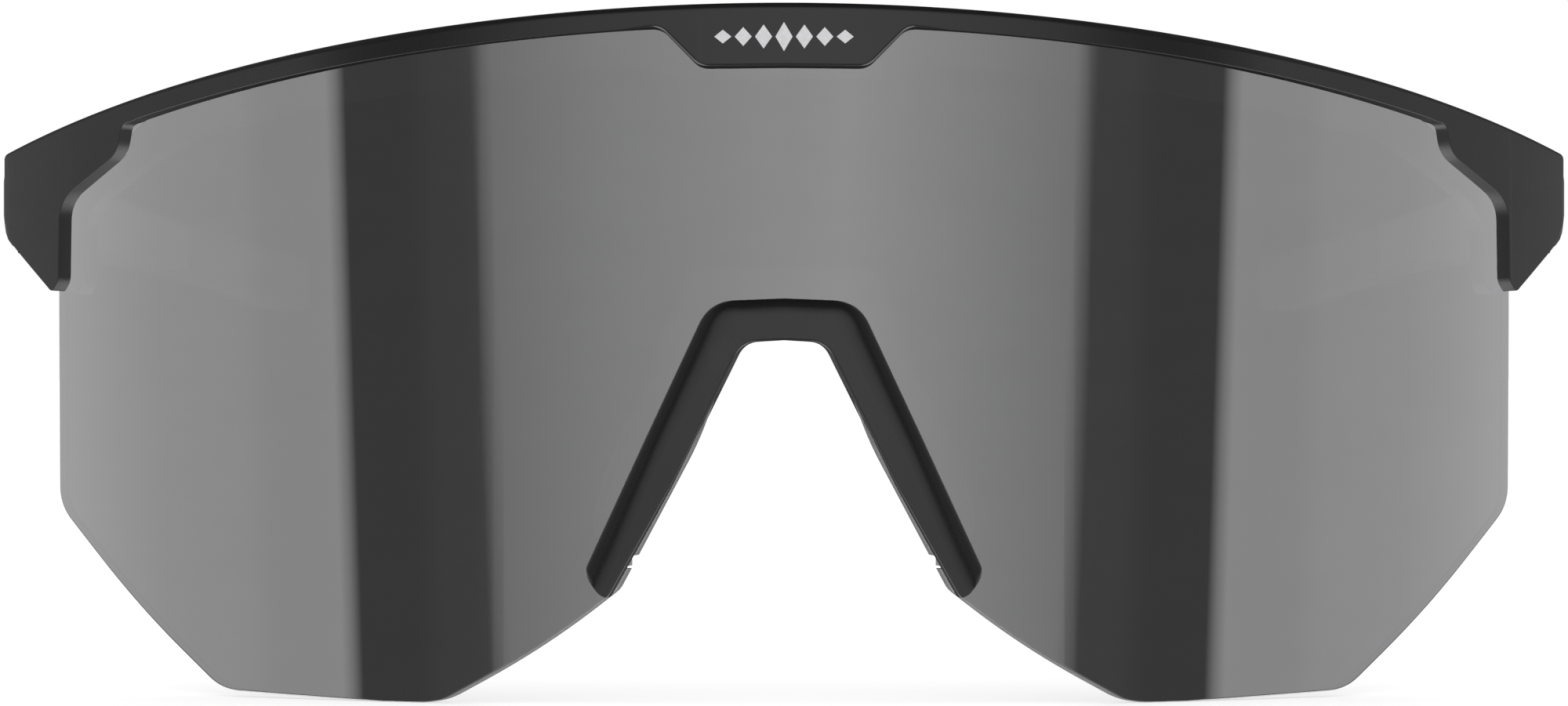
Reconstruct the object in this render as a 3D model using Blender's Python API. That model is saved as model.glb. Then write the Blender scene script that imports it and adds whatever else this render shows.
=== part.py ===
"""Wraparound sport sunglasses: a one-piece shield lens in the groove of a slim front frame, two folding
temples with rubber grips, and a nose clip with two bendable pads.

Lengths in this file are in millimetres and MM turns them into Blender's metres.
X runs across the face, Y from the front of the glasses to the temple tips, Z up.
The origin is the bottom centre of the whole object's box.

The front of the glasses lies on an upright cylinder. Its pieces are drawn flat, as a height for each
place across the face, and are then wrapped round that cylinder.
"""

from math import asin, cos, pi, radians, sin, sqrt

import bmesh
import bpy
from mathutils import Matrix, Vector

MM = 0.001

# ---- driving dimensions ----
LENS_RADIUS = 88.0          # front surface of the lens, an upright cylinder
LENS_THICKNESS = 2.0
LENS_HALF_WIDTH = 66.0
LENS_BOTTOM = 0.0
LENGTH = 164.6              # front of the brow bar to the temple tips

FRAME_PROUD = 1.6           # the frame's front face stands this far in front of the lens
FRAME_FLANGE = 1.7          # thickness of the rear flange
BROW_TOP = 60.45            # top of the brow bar at the middle
BROW_ARCH_HALF_WIDTH = 100.0    # half axes of the ellipse that the bar's top follows, seen from the front
BROW_ARCH_RISE = 39.25
BAR_HEIGHT = 1.98
GROOVE_ROOF = 0.95          # from the bar's top down to the lens
END_HALF_WIDTH = 71.7       # outer edge of the end piece's front face
END_CORNER = 0.4            # radius of the end piece's upper corner

LIP_DRAFT = 0.2             # the bar's lower face rises this far towards the front, so it leaves the mould
END_DRAFT = 0.05            # the same on the end piece
FRONT_SOFT = 0.5            # softening of the frame's front upper and rear lower edges
REAR_SOFT = 0.6             # softening of its rear upper edge
STEP_HALF = 0.4             # the step from lip to flange lies this far either side of the lens's middle

GAP = 0.2                   # between pieces that touch
CLEAR = 1.0                 # a cutter starts this far outside what it cuts
BEND = 0.3                  # share of a softening that its middle point lies in from the sharp corner
INNER_EDGE = 0.3            # softening of edges on the side of the head

HINGE_X = 68.2
HINGE_DEPTH = 44.6          # behind the front of the lens
HINGE_HEIGHT = 43.6
HINGE_REACH = 8.0           # outside height of the two lugs
LUG_RADIUS = 2.5
LUG_THICKNESS = 1.7
LUG_LENGTH = 4.5            # from the fold axis forward into the end piece
TONGUE_HEIGHT = 3.4
WASHER_THICKNESS = 0.3
SCREW_RADIUS = 0.75
SCREW_HEAD_RADIUS = 1.3
SCREW_HEAD_HEIGHT = 0.7
SCREW_HEAD_SUNK = 0.05      # below the upper lug's face
SCREW_END_SUNK = 0.2        # the screw's lower end above the lower lug's face
SLOT_HALF_WIDTH = 0.2       # screwdriver slot
SLOT_DEPTH = 0.3
INSERT_RADIUS = 1.25
INSERT_SUNK = 0.1
WASHER_INSET = 0.3          # the washers are this much smaller in radius than the lugs
TONGUE_INSET = 0.1          # and the tongue's round end this much
TONGUE_INNER = 1.4          # the tongue's stem reaches this far inside and outside the fold axis
TONGUE_OUTER = 3.2
TONGUE_END = 49.0           # depth at which the tongue's stem ends inside the temple
HOLE_CLEARANCE = 0.15

CORE_RADIUS = 0.6
POST_RADIUS = 0.6

NOSE_PROUD = 1.5            # the nose clip's front strip stands this far in front of the lens
CARRIER_THICKNESS = 1.5
PAD_LENGTH = 20.0
PAD_DEPTH = 8.6
PAD_THICKNESS = 2.4
PAD_SPLAY = 24.0            # degrees that a pad turns out towards its rear edge
LEG_LEAN = 25.2             # degrees that the nose clip's legs lean from upright
PAD_START = (6.0, 4.6, 31.4)    # distance from the middle, depth and height of a pad's upper front corner
PAD_TIP_DEPTH = 0.35        # a pad's depth at its two ends, as a share of its full depth
PAD_TIP_THICKNESS = 0.45    # the same for its thickness
PAD_TIP_BACK = 0.6          # its front edge bends back by this much at the ends
PAD_FRONT_GAP = 0.25        # from the pad's front edge to the nose clip
POST_PLACE = 0.45           # the bendable wire enters this share of the way down the pad
POST_FRONT = 1.1            # and starts this far in front of the pad, inside the nose clip
POST_END = 0.62             # and ends at this share of the pad's depth
STRIP_SHOULDER = 0.55       # the front strip's face drops by this much to its edges
STRIP_EDGE = 0.9            # over a width of this much
STRIP_EDGE_SHARE = 0.3      # but never over more than this share of the strip
CLIP_OVERLAP = 0.2          # strip and carrier both reach this far past the lens's middle

# ---- worked-out dimensions ----
LENS_BACK = LENS_RADIUS - LENS_THICKNESS
FRAME_FRONT = LENS_RADIUS + FRAME_PROUD
FRAME_BACK = LENS_BACK - GAP - FRAME_FLANGE
MID_LENS = LENS_RADIUS - LENS_THICKNESS / 2
CARRIER_BACK = LENS_BACK - GAP - CARRIER_THICKNESS
END_ANGLE = asin(END_HALF_WIDTH / FRAME_FRONT)
FRONT_Y = -LENGTH / 2       # the brow bar's front at the middle
APEX_Y = FRONT_Y + FRAME_PROUD

SATIN_BLACK = (0.012, 0.012, 0.013, 1.0)
RUBBER_BLACK = (0.016, 0.016, 0.017, 1.0)
LENS_GREY = (0.23, 0.23, 0.235, 1.0)
STEEL = (0.56, 0.57, 0.58, 1.0)
BRASS = (0.66, 0.5, 0.24, 1.0)
NYLON = (0.7, 0.7, 0.68, 1.0)


# ---- helpers ----
def clear_scene():
    for item in list(bpy.data.objects):
        bpy.data.objects.remove(item, do_unlink=True)


def material(name, colour, roughness, metallic=0.0):
    mat = bpy.data.materials.new(name)
    mat.use_nodes = True
    shader = mat.node_tree.nodes["Principled BSDF"]
    shader.inputs["Base Color"].default_value = colour
    shader.inputs["Roughness"].default_value = roughness
    shader.inputs["Metallic"].default_value = metallic
    return mat


def add_object(name, bm, mat=None, origin=(0.0, 0.0, 0.0)):
    """Turns bm, in millimetres, into an object whose origin is at that place."""
    bmesh.ops.recalc_face_normals(bm, faces=bm.faces)
    bm.transform(Matrix.Scale(MM, 4) @ Matrix.Translation(-Vector(origin)))
    mesh = bpy.data.meshes.new(name)
    bm.to_mesh(mesh)
    bm.free()
    mesh.shade_smooth()
    mesh.set_sharp_from_angle(angle=radians(35))
    if mat:
        mesh.materials.append(mat)
    obj = bpy.data.objects.new(name, mesh)
    obj.location = Vector(origin) * MM
    bpy.context.collection.objects.link(obj)
    return obj


def add_cutter(name, bm):
    cutter = add_object(name, bm)
    cutter.hide_render = True
    cutter.display_type = "WIRE"
    return cutter


def combine(obj, other, operation):
    step = obj.modifiers.new(other.name, "BOOLEAN")
    step.operation = operation
    step.solver = "EXACT"
    step.object = other


def loft(rings):
    """A closed body through rings that all have the same number of points."""
    bm = bmesh.new()
    made = [[bm.verts.new(point) for point in ring] for ring in rings]
    for near, far in zip(made, made[1:]):
        for i in range(len(near)):
            j = (i + 1) % len(near)
            bm.faces.new((near[i], near[j], far[j], far[i]))
    bm.faces.new(made[0])
    bm.faces.new(made[-1])
    return bm


def cylinder(radius, low, high, x, y, sides=24):
    """An upright cylinder from height low to height high."""
    rings = []
    for z in (low, high):
        turns = [2 * pi * i / sides for i in range(sides)]
        rings.append([(x + radius * cos(t), y + radius * sin(t), z) for t in turns])
    return loft(rings)


def tube_ring(low, high, x, y, inner, outer, sides=24):
    """An upright washer or bush."""
    profile = [(inner, low), (outer, low), (outer, high), (inner, high)]
    bm = bmesh.new()
    made = []
    for i in range(sides):
        t = 2 * pi * i / sides
        made.append([bm.verts.new((x + r * cos(t), y + r * sin(t), z)) for r, z in profile])
    for i in range(sides):
        near, far = made[i], made[(i + 1) % sides]
        for j in range(len(profile)):
            k = (j + 1) % len(profile)
            bm.faces.new((near[j], near[k], far[k], far[j]))
    return bm


def box(x_range, y_range, z_range):
    rings = []
    for z in z_range:
        (x0, x1), (y0, y1) = x_range, y_range
        rings.append([(x0, y0, z), (x1, y0, z), (x1, y1, z), (x0, y1, z)])
    return loft(rings)


def rod(start, end, radius, sides=12):
    """A round rod between two points."""
    start, end = Vector(start), Vector(end)
    along = (end - start).normalized()
    side = along.orthogonal().normalized()
    other = along.cross(side)
    rings = []
    for centre in (start, end):
        turns = [2 * pi * i / sides for i in range(sides)]
        rings.append([centre + (side * cos(t) + other * sin(t)) * radius for t in turns])
    return loft(rings)


def interpolate(points, x):
    """Height at x on the straight stretches between points, which run in order of x."""
    if x <= points[0][0]:
        return points[0][1]
    for (x0, z0), (x1, z1) in zip(points, points[1:]):
        if x <= x1:
            return z0 + (z1 - z0) * (x - x0) / (x1 - x0)
    return points[-1][1]


def rounded(corners, steps=4):
    """Points (x, height) of an outline with its corners rounded."""
    points = []
    for i, (x, z, reach) in enumerate(corners):
        here = Vector((x, z))
        if not reach:
            points.append((x, z))
            continue
        before = here + (Vector(corners[i - 1][:2]) - here).normalized() * reach
        after = here + (Vector(corners[i + 1][:2]) - here).normalized() * reach
        for k in range(steps + 1):
            t = k / steps
            point = before * (1 - t) ** 2 + here * 2 * t * (1 - t) + after * t**2
            points.append((point.x, point.y))
    return points


def smooth(points, x):
    """Height at x on the smooth curve through points, which run in order of x."""
    x = min(max(x, points[0][0]), points[-1][0])
    last = len(points) - 1
    i = max(k for k in range(last) if points[k][0] <= x)
    (x0, z0), (x1, z1) = points[i], points[i + 1]

    def slope(k):
        a, b = points[max(k - 1, 0)], points[min(k + 1, last)]
        return (b[1] - a[1]) / (b[0] - a[0])

    t = (x - x0) / (x1 - x0)
    span = x1 - x0
    rise = z0 * (2 * t**3 - 3 * t**2 + 1) + z1 * (3 * t**2 - 2 * t**3)
    return rise + span * (slope(i) * (t**3 - 2 * t**2 + t) + slope(i + 1) * (t**3 - t**2))


def wrap(angle, radius, z):
    """A point on the upright cylinder that the front of the glasses lies on."""
    return (radius * sin(angle), APEX_Y + LENS_RADIUS - radius * cos(angle), z)


def angle_at(x):
    """Angle round the cylinder at which the lens's front surface is x from the middle."""
    return asin(x / LENS_RADIUS)


def both_sides(stations):
    """Stations from the middle outwards, mirrored."""
    return [-s for s in reversed(stations) if s > 0] + list(stations)


def spaced(start, end, count):
    return [start + (end - start) * i / count for i in range(count)]


def wrapped_loft(stations, section):
    """A body on the cylinder. section(x) gives its (radius, height) points at x, for x of 0 or more."""
    rings = []
    for x in both_sides(stations):
        angle = angle_at(abs(x)) * (1 if x >= 0 else -1)
        rings.append([wrap(angle, radius, z) for radius, z in section(abs(x))])
    return loft(rings)


# ---- outlines ----
# Each is a list of corners (x, height, reach), x being the distance from the middle on the lens's front.
# A corner is rounded from reach before it to reach after it.
END_X = LENS_RADIUS * sin(END_ANGLE)

# lower edge of the centre tab and the start of the brow bar
TAB_CORNERS = [(0.0, 54.83, 0), (7.15, 54.77, 0.8), (10.5, 58.2, 0.8), (14.0, 58.1, 0)]
# lower edge of the end piece's front lip: down from the bar, slanting out, down, round the tip and up
END_CORNERS = [
    (57.0, 51.12, 0), (58.2, 50.8, 0.5), (58.66, 48.2, 1.2), (64.4, 44.1, 1.7), (64.52, 36.9, 0.5),
    (65.2, 35.85, 0.4), (70.1, 41.0, 1.3), (END_X, 42.4, 0),
]
# lower edge of the frame's rear flange
FLANGE_CORNERS = [
    (0.0, 54.1, 0), (10.3, 54.1, 0.8), (11.9, 55.5, 0.8), (30.0, 53.9, 6.0), (45.4, 51.4, 5.0),
    (54.0, 49.7, 2.5), (59.0, 47.0, 1.5), (63.0, 44.2, 0.7), (64.35, 42.0, 1.0), (64.7, 37.4, 0.4),
    (65.5, 37.0, 0.4), (70.0, 40.9, 0.3), (END_X, 41.7, 0),
]
# upper edge of the lens inside the end piece, beyond the brow bar's groove
SHOULDER_CORNERS = [
    (57.0, 52.15, 0), (59.9, 49.6, 0.6), (63.9, 46.6, 0.8), (65.7, 44.0, 0.8), (LENS_HALF_WIDTH, 40.0, 0),
]
# lower edge of the lens, from the nose cut-out to its side
LENS_CORNERS = [
    (0.0, 33.2, 0), (3.6, 33.0, 1.4), (7.5, 22.7, 2.0), (14.4, 10.0, 0.5), (21.0, 4.95, 6.0),
    (30.1, LENS_BOTTOM, 1.7), (32.0, LENS_BOTTOM, 0), (35.0, LENS_BOTTOM, 0), (49.75, 0.6, 1.6),
    (57.6, 7.5, 5.5), (65.9, 16.6, 1.7), (LENS_HALF_WIDTH, 34.0, 0),
]
# the nose clip's front strip
STRIP_TOP_CORNERS = [(0.0, 35.1, 0), (6.4, 34.85, 2.0), (17.0, 12.1, 0.4), (17.15, 11.6, 0)]
STRIP_LOWER_CORNERS = [
    (0.0, 31.5, 0), (3.5, 31.4, 1.0), (9.7, 18.7, 0), (14.9, 9.25, 0.4), (15.5, 9.4, 0.4), (17.15, 11.1, 0),
]
# the carrier behind the lens
CARRIER_TOP_CORNERS = [(0.0, 38.0, 0), (8.3, 37.7, 1.6), (16.6, 15.2, 0)]
CARRIER_LOWER_CORNERS = [
    (0.0, 31.5, 0), (3.5, 31.3, 1.0), (7.45, 23.6, 0), (8.1, 22.9, 0), (14.7, 10.9, 0.6), (16.6, 12.9, 0),
]

NOTCH_X = 13.55             # the lens's notch that takes the nose clip's hook
NOTCH_Z = 12.4
NOTCH_DEPTH = 0.9
HOOK_HEIGHT = 0.75
HOOK_REACH = 0.6            # the hook's stem goes this far into the strip and the carrier
NOTCH_OPENING = 1.5         # how far past the lens's edge the notch is cut, so that it is open there

# the end piece's body: depth, inner face, outer face, lower edge, upper edge, softening of the outer edge
# below and above
BLOCK_CUTS = [
    (34.5, 69.6, 71.1, 43.0, 47.2, 0.45, 0.45), (36.5, 68.4, 71.75, 40.6, 47.9, 1.7, 1.3),
    (38.5, 66.6, 72.0, 39.8, 47.7, 2.5, 1.3), (41.1, 65.7, 72.5, 39.6, 47.6, 2.6, 1.3),
]

# temples: (depth, distance from the middle) of the inner face, thickness, lower and upper edge
TEMPLE_INNER = [
    (47.4, 66.7), (60.0, 66.2), (80.0, 65.0), (100.0, 62.9), (125.0, 59.9), (145.0, 57.2), (163.0, 54.9),
]
TEMPLE_THICKNESS = [(47.4, 5.7), (60.0, 4.0), (80.0, 3.4), (104.0, 3.1), (163.0, 3.0)]
TEMPLE_LOWER = [
    (47.4, 39.7), (60.0, 39.6), (80.0, 39.2), (100.0, 38.6), (125.0, 37.3), (145.0, 36.1), (163.0, 35.0),
]
TEMPLE_UPPER = [
    (47.4, 47.5), (60.0, 46.7), (80.0, 45.6), (100.0, 44.3), (125.0, 42.9), (145.0, 41.9), (163.0, 41.0),
]
CHEEK = (72.5, 39.7, 47.5)      # outer face, lower and upper edge of the thin wall that covers the hinge
CHEEK_EDGE = 2.6                # softening of that wall's outer edges
TEMPLE_EDGES = (0.6, 1.1)       # softening of the temple's inner and outer edges
EDGE_BLEND_END = 60.0           # depth at which the cheek's softening has changed into the temple's
TANG_SIDE = 0.5                 # the tang inside the grip is smaller than the temple's own line by this
TANG_EDGE = 1.3                 # much at each side, and by this much above and below
BUTT_DEPTH = 41.3           # front end of the temple, against the end piece
CHEEK_END = 47.3            # the temple is a thin outer wall as far as here, and full behind it
GRIP_START = 106.0
TANG_END = 128.0
CORE_START = 112.0
CORE_END = 150.0
TEMPLE_END = 163.0
GRIP_SWELL = 0.7            # the grip stands this far out from the temple's own line
GRIP_SWELL_LENGTH = 9.5     # and gets there over this length
GRIP_PADDLE = 0.7           # the grip's end widens up and down at this rate
GRIP_PADDLE_START = 0.45    # from this share of its length on
GRIP_EDGES = (1.1, 1.3)     # softening of the grip's inner and outer edges
GRIP_CAP = 1.2              # length of the rounded rear end
GRIP_CAP_INSET = 1.0
GRIP_CAP_EDGES = (0.6, 0.8)
GRIP_REST_HEIGHT = 35.2     # flat underside of the grip's end


# ---- front ----
TAB_EDGE = rounded(TAB_CORNERS)
END_EDGE = rounded(END_CORNERS)
FLANGE_EDGE = rounded(FLANGE_CORNERS, 3)
LENS_SHOULDER = rounded(SHOULDER_CORNERS, 3)
LENS_LOWER = rounded(LENS_CORNERS)
STRIP_TOP = rounded(STRIP_TOP_CORNERS)
STRIP_LOWER = rounded(STRIP_LOWER_CORNERS)
CARRIER_TOP = rounded(CARRIER_TOP_CORNERS)
CARRIER_LOWER = rounded(CARRIER_LOWER_CORNERS)


def frame_top(x):
    across = x * FRAME_FRONT / LENS_RADIUS
    return BROW_TOP - BROW_ARCH_RISE * (1 - sqrt(1 - (across / BROW_ARCH_HALF_WIDTH) ** 2))


def end_corner(x):
    """How far the end piece's rounded upper corner falls below the brow arch."""
    past = max(x - (END_X - END_CORNER), 0.0)
    return END_CORNER - sqrt(max(END_CORNER**2 - past**2, 0.0))


def lip_height(x):
    if x >= END_EDGE[0][0]:
        return interpolate(END_EDGE, x)
    bar = frame_top(x) - BAR_HEIGHT
    return min(bar, interpolate(TAB_EDGE, x)) if x < TAB_EDGE[-1][0] else bar


def flange_height(x):
    return min(interpolate(FLANGE_EDGE, x), lip_height(x) - 0.3)


def lens_top(x):
    if x > LENS_SHOULDER[0][0]:
        return interpolate(LENS_SHOULDER, x)
    return frame_top(x) - GROOVE_ROOF


def frame_section(x):
    top = frame_top(x) - end_corner(x)
    lip, flange = lip_height(x), flange_height(x)
    draft = LIP_DRAFT if x < END_EDGE[0][0] else END_DRAFT
    bend = BEND * FRONT_SOFT
    return [
        (FRAME_FRONT, lip + draft), (FRAME_FRONT, top - FRONT_SOFT), (FRAME_FRONT - bend, top - bend),
        (FRAME_FRONT - FRONT_SOFT, top), (FRAME_BACK + REAR_SOFT, top), (FRAME_BACK, top - REAR_SOFT),
        (FRAME_BACK, flange + FRONT_SOFT), (FRAME_BACK + FRONT_SOFT, flange),
        (MID_LENS - STEP_HALF, flange), (MID_LENS + STEP_HALF, lip), (LENS_RADIUS, lip),
    ]


def lens_section(x, grow=0.0):
    front, back = LENS_RADIUS + grow, LENS_BACK - grow
    top, low = lens_top(x) + grow, interpolate(LENS_LOWER, x) - grow
    return [(front, low), (front, top), (back, top), (back, low)]


def stations(spacing, end, *outlines):
    """Evenly spaced places from the middle to end, with every place where one of the outlines turns."""
    wanted = spaced(0.0, end, round(end / spacing)) + [x for outline in outlines for x, _ in outline]
    kept = [0.0]
    for x in sorted(wanted):
        if kept[-1] + 0.06 < x < end - 0.06:
            kept.append(x)
    return kept + [end]


def lens_stations(grow=0.0):
    return stations(1.8, LENS_HALF_WIDTH, LENS_LOWER, LENS_SHOULDER)[:-1] + [LENS_HALF_WIDTH + grow]


def frame_stations():
    corner = [(END_X - END_CORNER * (1 - sin(radians(a))), 0.0) for a in (0, 25, 50, 72)]
    return stations(2.4, END_X, TAB_EDGE, END_EDGE, corner)


def lens_space(name):
    """The lens with a gap all round, to cut what holds it."""
    return add_cutter(name, wrapped_loft(lens_stations(GAP), lambda x: lens_section(x, GAP)))


def depth_to_y(depth):
    return APEX_Y + depth


def hinge_block(side):
    """The end piece's body behind its front face, down to the flat that the temple butts against."""
    rings = []
    for depth, inner, outer, low, high, soft_low, soft_high in BLOCK_CUTS:
        bend_low, bend_high = BEND * soft_low, BEND * soft_high
        outline = [
            (inner, low + INNER_EDGE), (inner + INNER_EDGE, low), (outer - soft_low, low),
            (outer - bend_low, low + bend_low), (outer, low + soft_low), (outer, high - soft_high),
            (outer - bend_high, high - bend_high), (outer - soft_high, high),
            (inner + INNER_EDGE, high), (inner, high - INNER_EDGE),
        ]
        rings.append([(side * x, depth_to_y(depth), z) for x, z in outline])
    return loft(rings)


def lug(side, low, high):
    """One of the two ears that the hinge screw passes through."""
    outline = [(LUG_RADIUS, -LUG_LENGTH), (LUG_RADIUS, 0.0)]
    outline += [(LUG_RADIUS * cos(radians(a)), LUG_RADIUS * sin(radians(a))) for a in range(15, 166, 15)]
    outline += [(-LUG_RADIUS, 0.0), (-LUG_RADIUS, -LUG_LENGTH)]
    centre_y = depth_to_y(HINGE_DEPTH)
    return loft([[(side * (HINGE_X + x), centre_y + y, z) for x, y in outline] for z in (low, high)])


def add_front_frame(mat):
    frame = add_object("front_frame", wrapped_loft(frame_stations(), frame_section), mat)
    combine(frame, lens_space("lens_groove"), "DIFFERENCE")
    low, high = HINGE_HEIGHT - HINGE_REACH / 2, HINGE_HEIGHT + HINGE_REACH / 2
    y = depth_to_y(HINGE_DEPTH)
    for side, word in ((1, "left"), (-1, "right")):
        combine(frame, add_cutter("block_" + word, hinge_block(side)), "UNION")
        for place, z0, z1 in (("lower", low, low + LUG_THICKNESS), ("upper", high - LUG_THICKNESS, high)):
            combine(frame, add_cutter(f"lug_{place}_{word}", lug(side, z0, z1)), "UNION")
        x = side * HINGE_X
        bores = (
            ("screw_hole", SCREW_RADIUS + HOLE_CLEARANCE, low - CLEAR, high + CLEAR),
            ("head_seat", SCREW_HEAD_RADIUS + HOLE_CLEARANCE, high - SCREW_HEAD_HEIGHT - GAP, high + CLEAR),
            ("insert_seat", INSERT_RADIUS + HOLE_CLEARANCE, low - CLEAR, low + LUG_THICKNESS - GAP),
        )
        for label, radius, z0, z1 in bores:
            combine(frame, add_cutter(f"{label}_{word}", cylinder(radius, z0, z1, x, y)), "DIFFERENCE")
    return frame


def hook_box(side, extra, open_by=0.0):
    """The hook's stem, which passes through the lens's notch. With extra, and open, it is the notch."""
    angle = angle_at(NOTCH_X)
    inner, outer = -open_by, NOTCH_DEPTH - GAP + extra
    rings = []
    reach = GAP + HOOK_REACH + extra
    for radius in (LENS_BACK - reach, LENS_RADIUS + reach):
        ring = []
        for dx, dz in ((inner, -0.5), (outer, -0.5), (outer, 0.5), (inner, 0.5)):
            x, y, z = wrap(angle, radius, NOTCH_Z + dz * (HOOK_HEIGHT + 2 * extra))
            ring.append((side * (x + dx), y, z))
        rings.append(ring)
    return loft(rings)


def add_lens(mat):
    lens = add_object("lens", wrapped_loft(lens_stations(), lens_section), mat)
    for side, word in ((1, "left"), (-1, "right")):
        combine(lens, add_cutter("notch_" + word, hook_box(side, GAP, NOTCH_OPENING)), "DIFFERENCE")
    return lens


# ---- hinges ----
def add_hinge(side, word, steel, brass, nylon):
    x, y = side * HINGE_X, depth_to_y(HINGE_DEPTH)
    low, high = HINGE_HEIGHT - HINGE_REACH / 2, HINGE_HEIGHT + HINGE_REACH / 2
    head_low = high - SCREW_HEAD_HEIGHT
    head_high = high - SCREW_HEAD_SUNK
    shank = cylinder(SCREW_RADIUS, low + SCREW_END_SUNK, (head_low + head_high) / 2, x, y)
    screw = add_object("hinge_screw_" + word, shank, steel)
    head = add_cutter("screw_head_" + word, cylinder(SCREW_HEAD_RADIUS, head_low, head_high, x, y))
    slot_x = (x - SCREW_HEAD_RADIUS - CLEAR, x + SCREW_HEAD_RADIUS + CLEAR)
    slot_y = (y - SLOT_HALF_WIDTH, y + SLOT_HALF_WIDTH)
    slot = add_cutter("screw_slot_" + word, box(slot_x, slot_y, (head_high - SLOT_DEPTH, high + CLEAR)))
    combine(screw, head, "UNION")
    combine(screw, slot, "DIFFERENCE")
    insert_top = low + LUG_THICKNESS - 2 * GAP
    bush = tube_ring(low + INSERT_SUNK, insert_top, x, y, SCREW_RADIUS + HOLE_CLEARANCE, INSERT_RADIUS)
    add_object("hinge_insert_" + word, bush, brass)
    half_tongue = TONGUE_HEIGHT / 2
    lug_face = HINGE_REACH / 2 - LUG_THICKNESS
    offset = (half_tongue + lug_face) / 2
    for place, sign in (("upper", 1), ("lower", -1)):
        middle = HINGE_HEIGHT + sign * offset
        ends = (middle - WASHER_THICKNESS / 2, middle + WASHER_THICKNESS / 2)
        ring = tube_ring(*ends, x, y, SCREW_RADIUS + HOLE_CLEARANCE, LUG_RADIUS - WASHER_INSET)
        add_object(f"hinge_washer_{place}_{word}", ring, nylon)


# ---- temples ----
def temple_box(depth):
    """(inner, outer, lower, upper) of the temple's own line at that depth."""
    inner = smooth(TEMPLE_INNER, depth)
    outer = inner + smooth(TEMPLE_THICKNESS, depth)
    return inner, outer, smooth(TEMPLE_LOWER, depth), smooth(TEMPLE_UPPER, depth)


def temple_ring(side, depth, inner, outer, low, high, inside, outside):
    """A rounded upright section, softened by inside and outside at its inner and outer corners."""
    bend_in, bend_out = BEND * inside, BEND * outside
    outline = [
        (inner, low + inside), (inner + bend_in, low + bend_in), (inner + inside, low),
        (outer - outside, low), (outer - bend_out, low + bend_out), (outer, low + outside),
        (outer, high - outside), (outer - bend_out, high - bend_out), (outer - outside, high),
        (inner + inside, high), (inner + bend_in, high - bend_in), (inner, high - inside),
    ]
    return [(side * x, depth_to_y(depth), z) for x, z in outline]


def tang_box(depth, grow=0.0):
    """(inner, outer, lower, upper) of the tang inside the grip."""
    inner, outer, low, high = temple_box(depth)
    side, edge = TANG_SIDE - grow, TANG_EDGE - grow
    return inner + side, outer - side, low + edge, high - edge


def temple_edges(depth):
    inner, outer = TEMPLE_EDGES
    return inner, interpolate([(CHEEK_END, CHEEK_EDGE), (EDGE_BLEND_END, outer)], depth)


def temple_rings(side):
    """Sections from the cheek at the hinge to the end of the tang. Two close together make a step."""
    step = 0.1
    cheek_inner = HINGE_X + LUG_RADIUS + GAP
    rings = [
        temple_ring(side, BUTT_DEPTH + GAP, cheek_inner, *CHEEK, INNER_EDGE, CHEEK_EDGE),
        temple_ring(side, CHEEK_END, cheek_inner, *CHEEK, INNER_EDGE, CHEEK_EDGE),
        temple_ring(side, CHEEK_END + step, *temple_box(CHEEK_END + step), *temple_edges(CHEEK_END)),
    ]
    for depth in spaced(50.0, GRIP_START, 10) + [GRIP_START]:
        rings.append(temple_ring(side, depth, *temple_box(depth), *temple_edges(depth)))
    for depth in [GRIP_START + step] + spaced(110.0, TANG_END, 3) + [TANG_END]:
        rings.append(temple_ring(side, depth, *tang_box(depth), INNER_EDGE, INNER_EDGE))
    return rings


def tang_space(side):
    """The tang with a gap all round, to cut the grip."""
    rings = []
    for depth in [GRIP_START - CLEAR] + spaced(108.0, TANG_END, 4) + [TANG_END + GAP]:
        rings.append(temple_ring(side, depth, *tang_box(depth, GAP), INNER_EDGE, INNER_EDGE))
    return loft(rings)


def core_path(side, start, end):
    points = []
    for depth in spaced(start, end, 6) + [end]:
        inner, outer, low, high = temple_box(depth)
        points.append(Vector((side * (inner + outer) / 2, depth_to_y(depth), (low + high) / 2)))
    return points


def bent_rod(points, radius, sides=10):
    rings = []
    for point in points:
        turns = [2 * pi * i / sides for i in range(sides)]
        rings.append([(point.x + radius * cos(t), point.y, point.z + radius * sin(t)) for t in turns])
    return loft(rings)


def grip_rings(side):
    rings = []
    for depth in spaced(GRIP_START + GAP, TEMPLE_END - GRIP_CAP, 12) + [TEMPLE_END - GRIP_CAP, TEMPLE_END]:
        past = depth - GRIP_START
        swell = GRIP_SWELL * min(1.0, past / GRIP_SWELL_LENGTH)
        paddle = GRIP_PADDLE * max(past / (TEMPLE_END - GRIP_START) - GRIP_PADDLE_START, 0.0)
        inner, outer, low, high = temple_box(depth)
        capped = depth == TEMPLE_END
        inset = GRIP_CAP_INSET if capped else 0.0
        edges = GRIP_CAP_EDGES if capped else GRIP_EDGES
        under = max(low - paddle, GRIP_REST_HEIGHT)
        sides = (inner - swell + inset, outer + swell - inset, under + inset, high + paddle - inset)
        rings.append(temple_ring(side, depth, *sides, *edges))
    return rings


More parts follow.
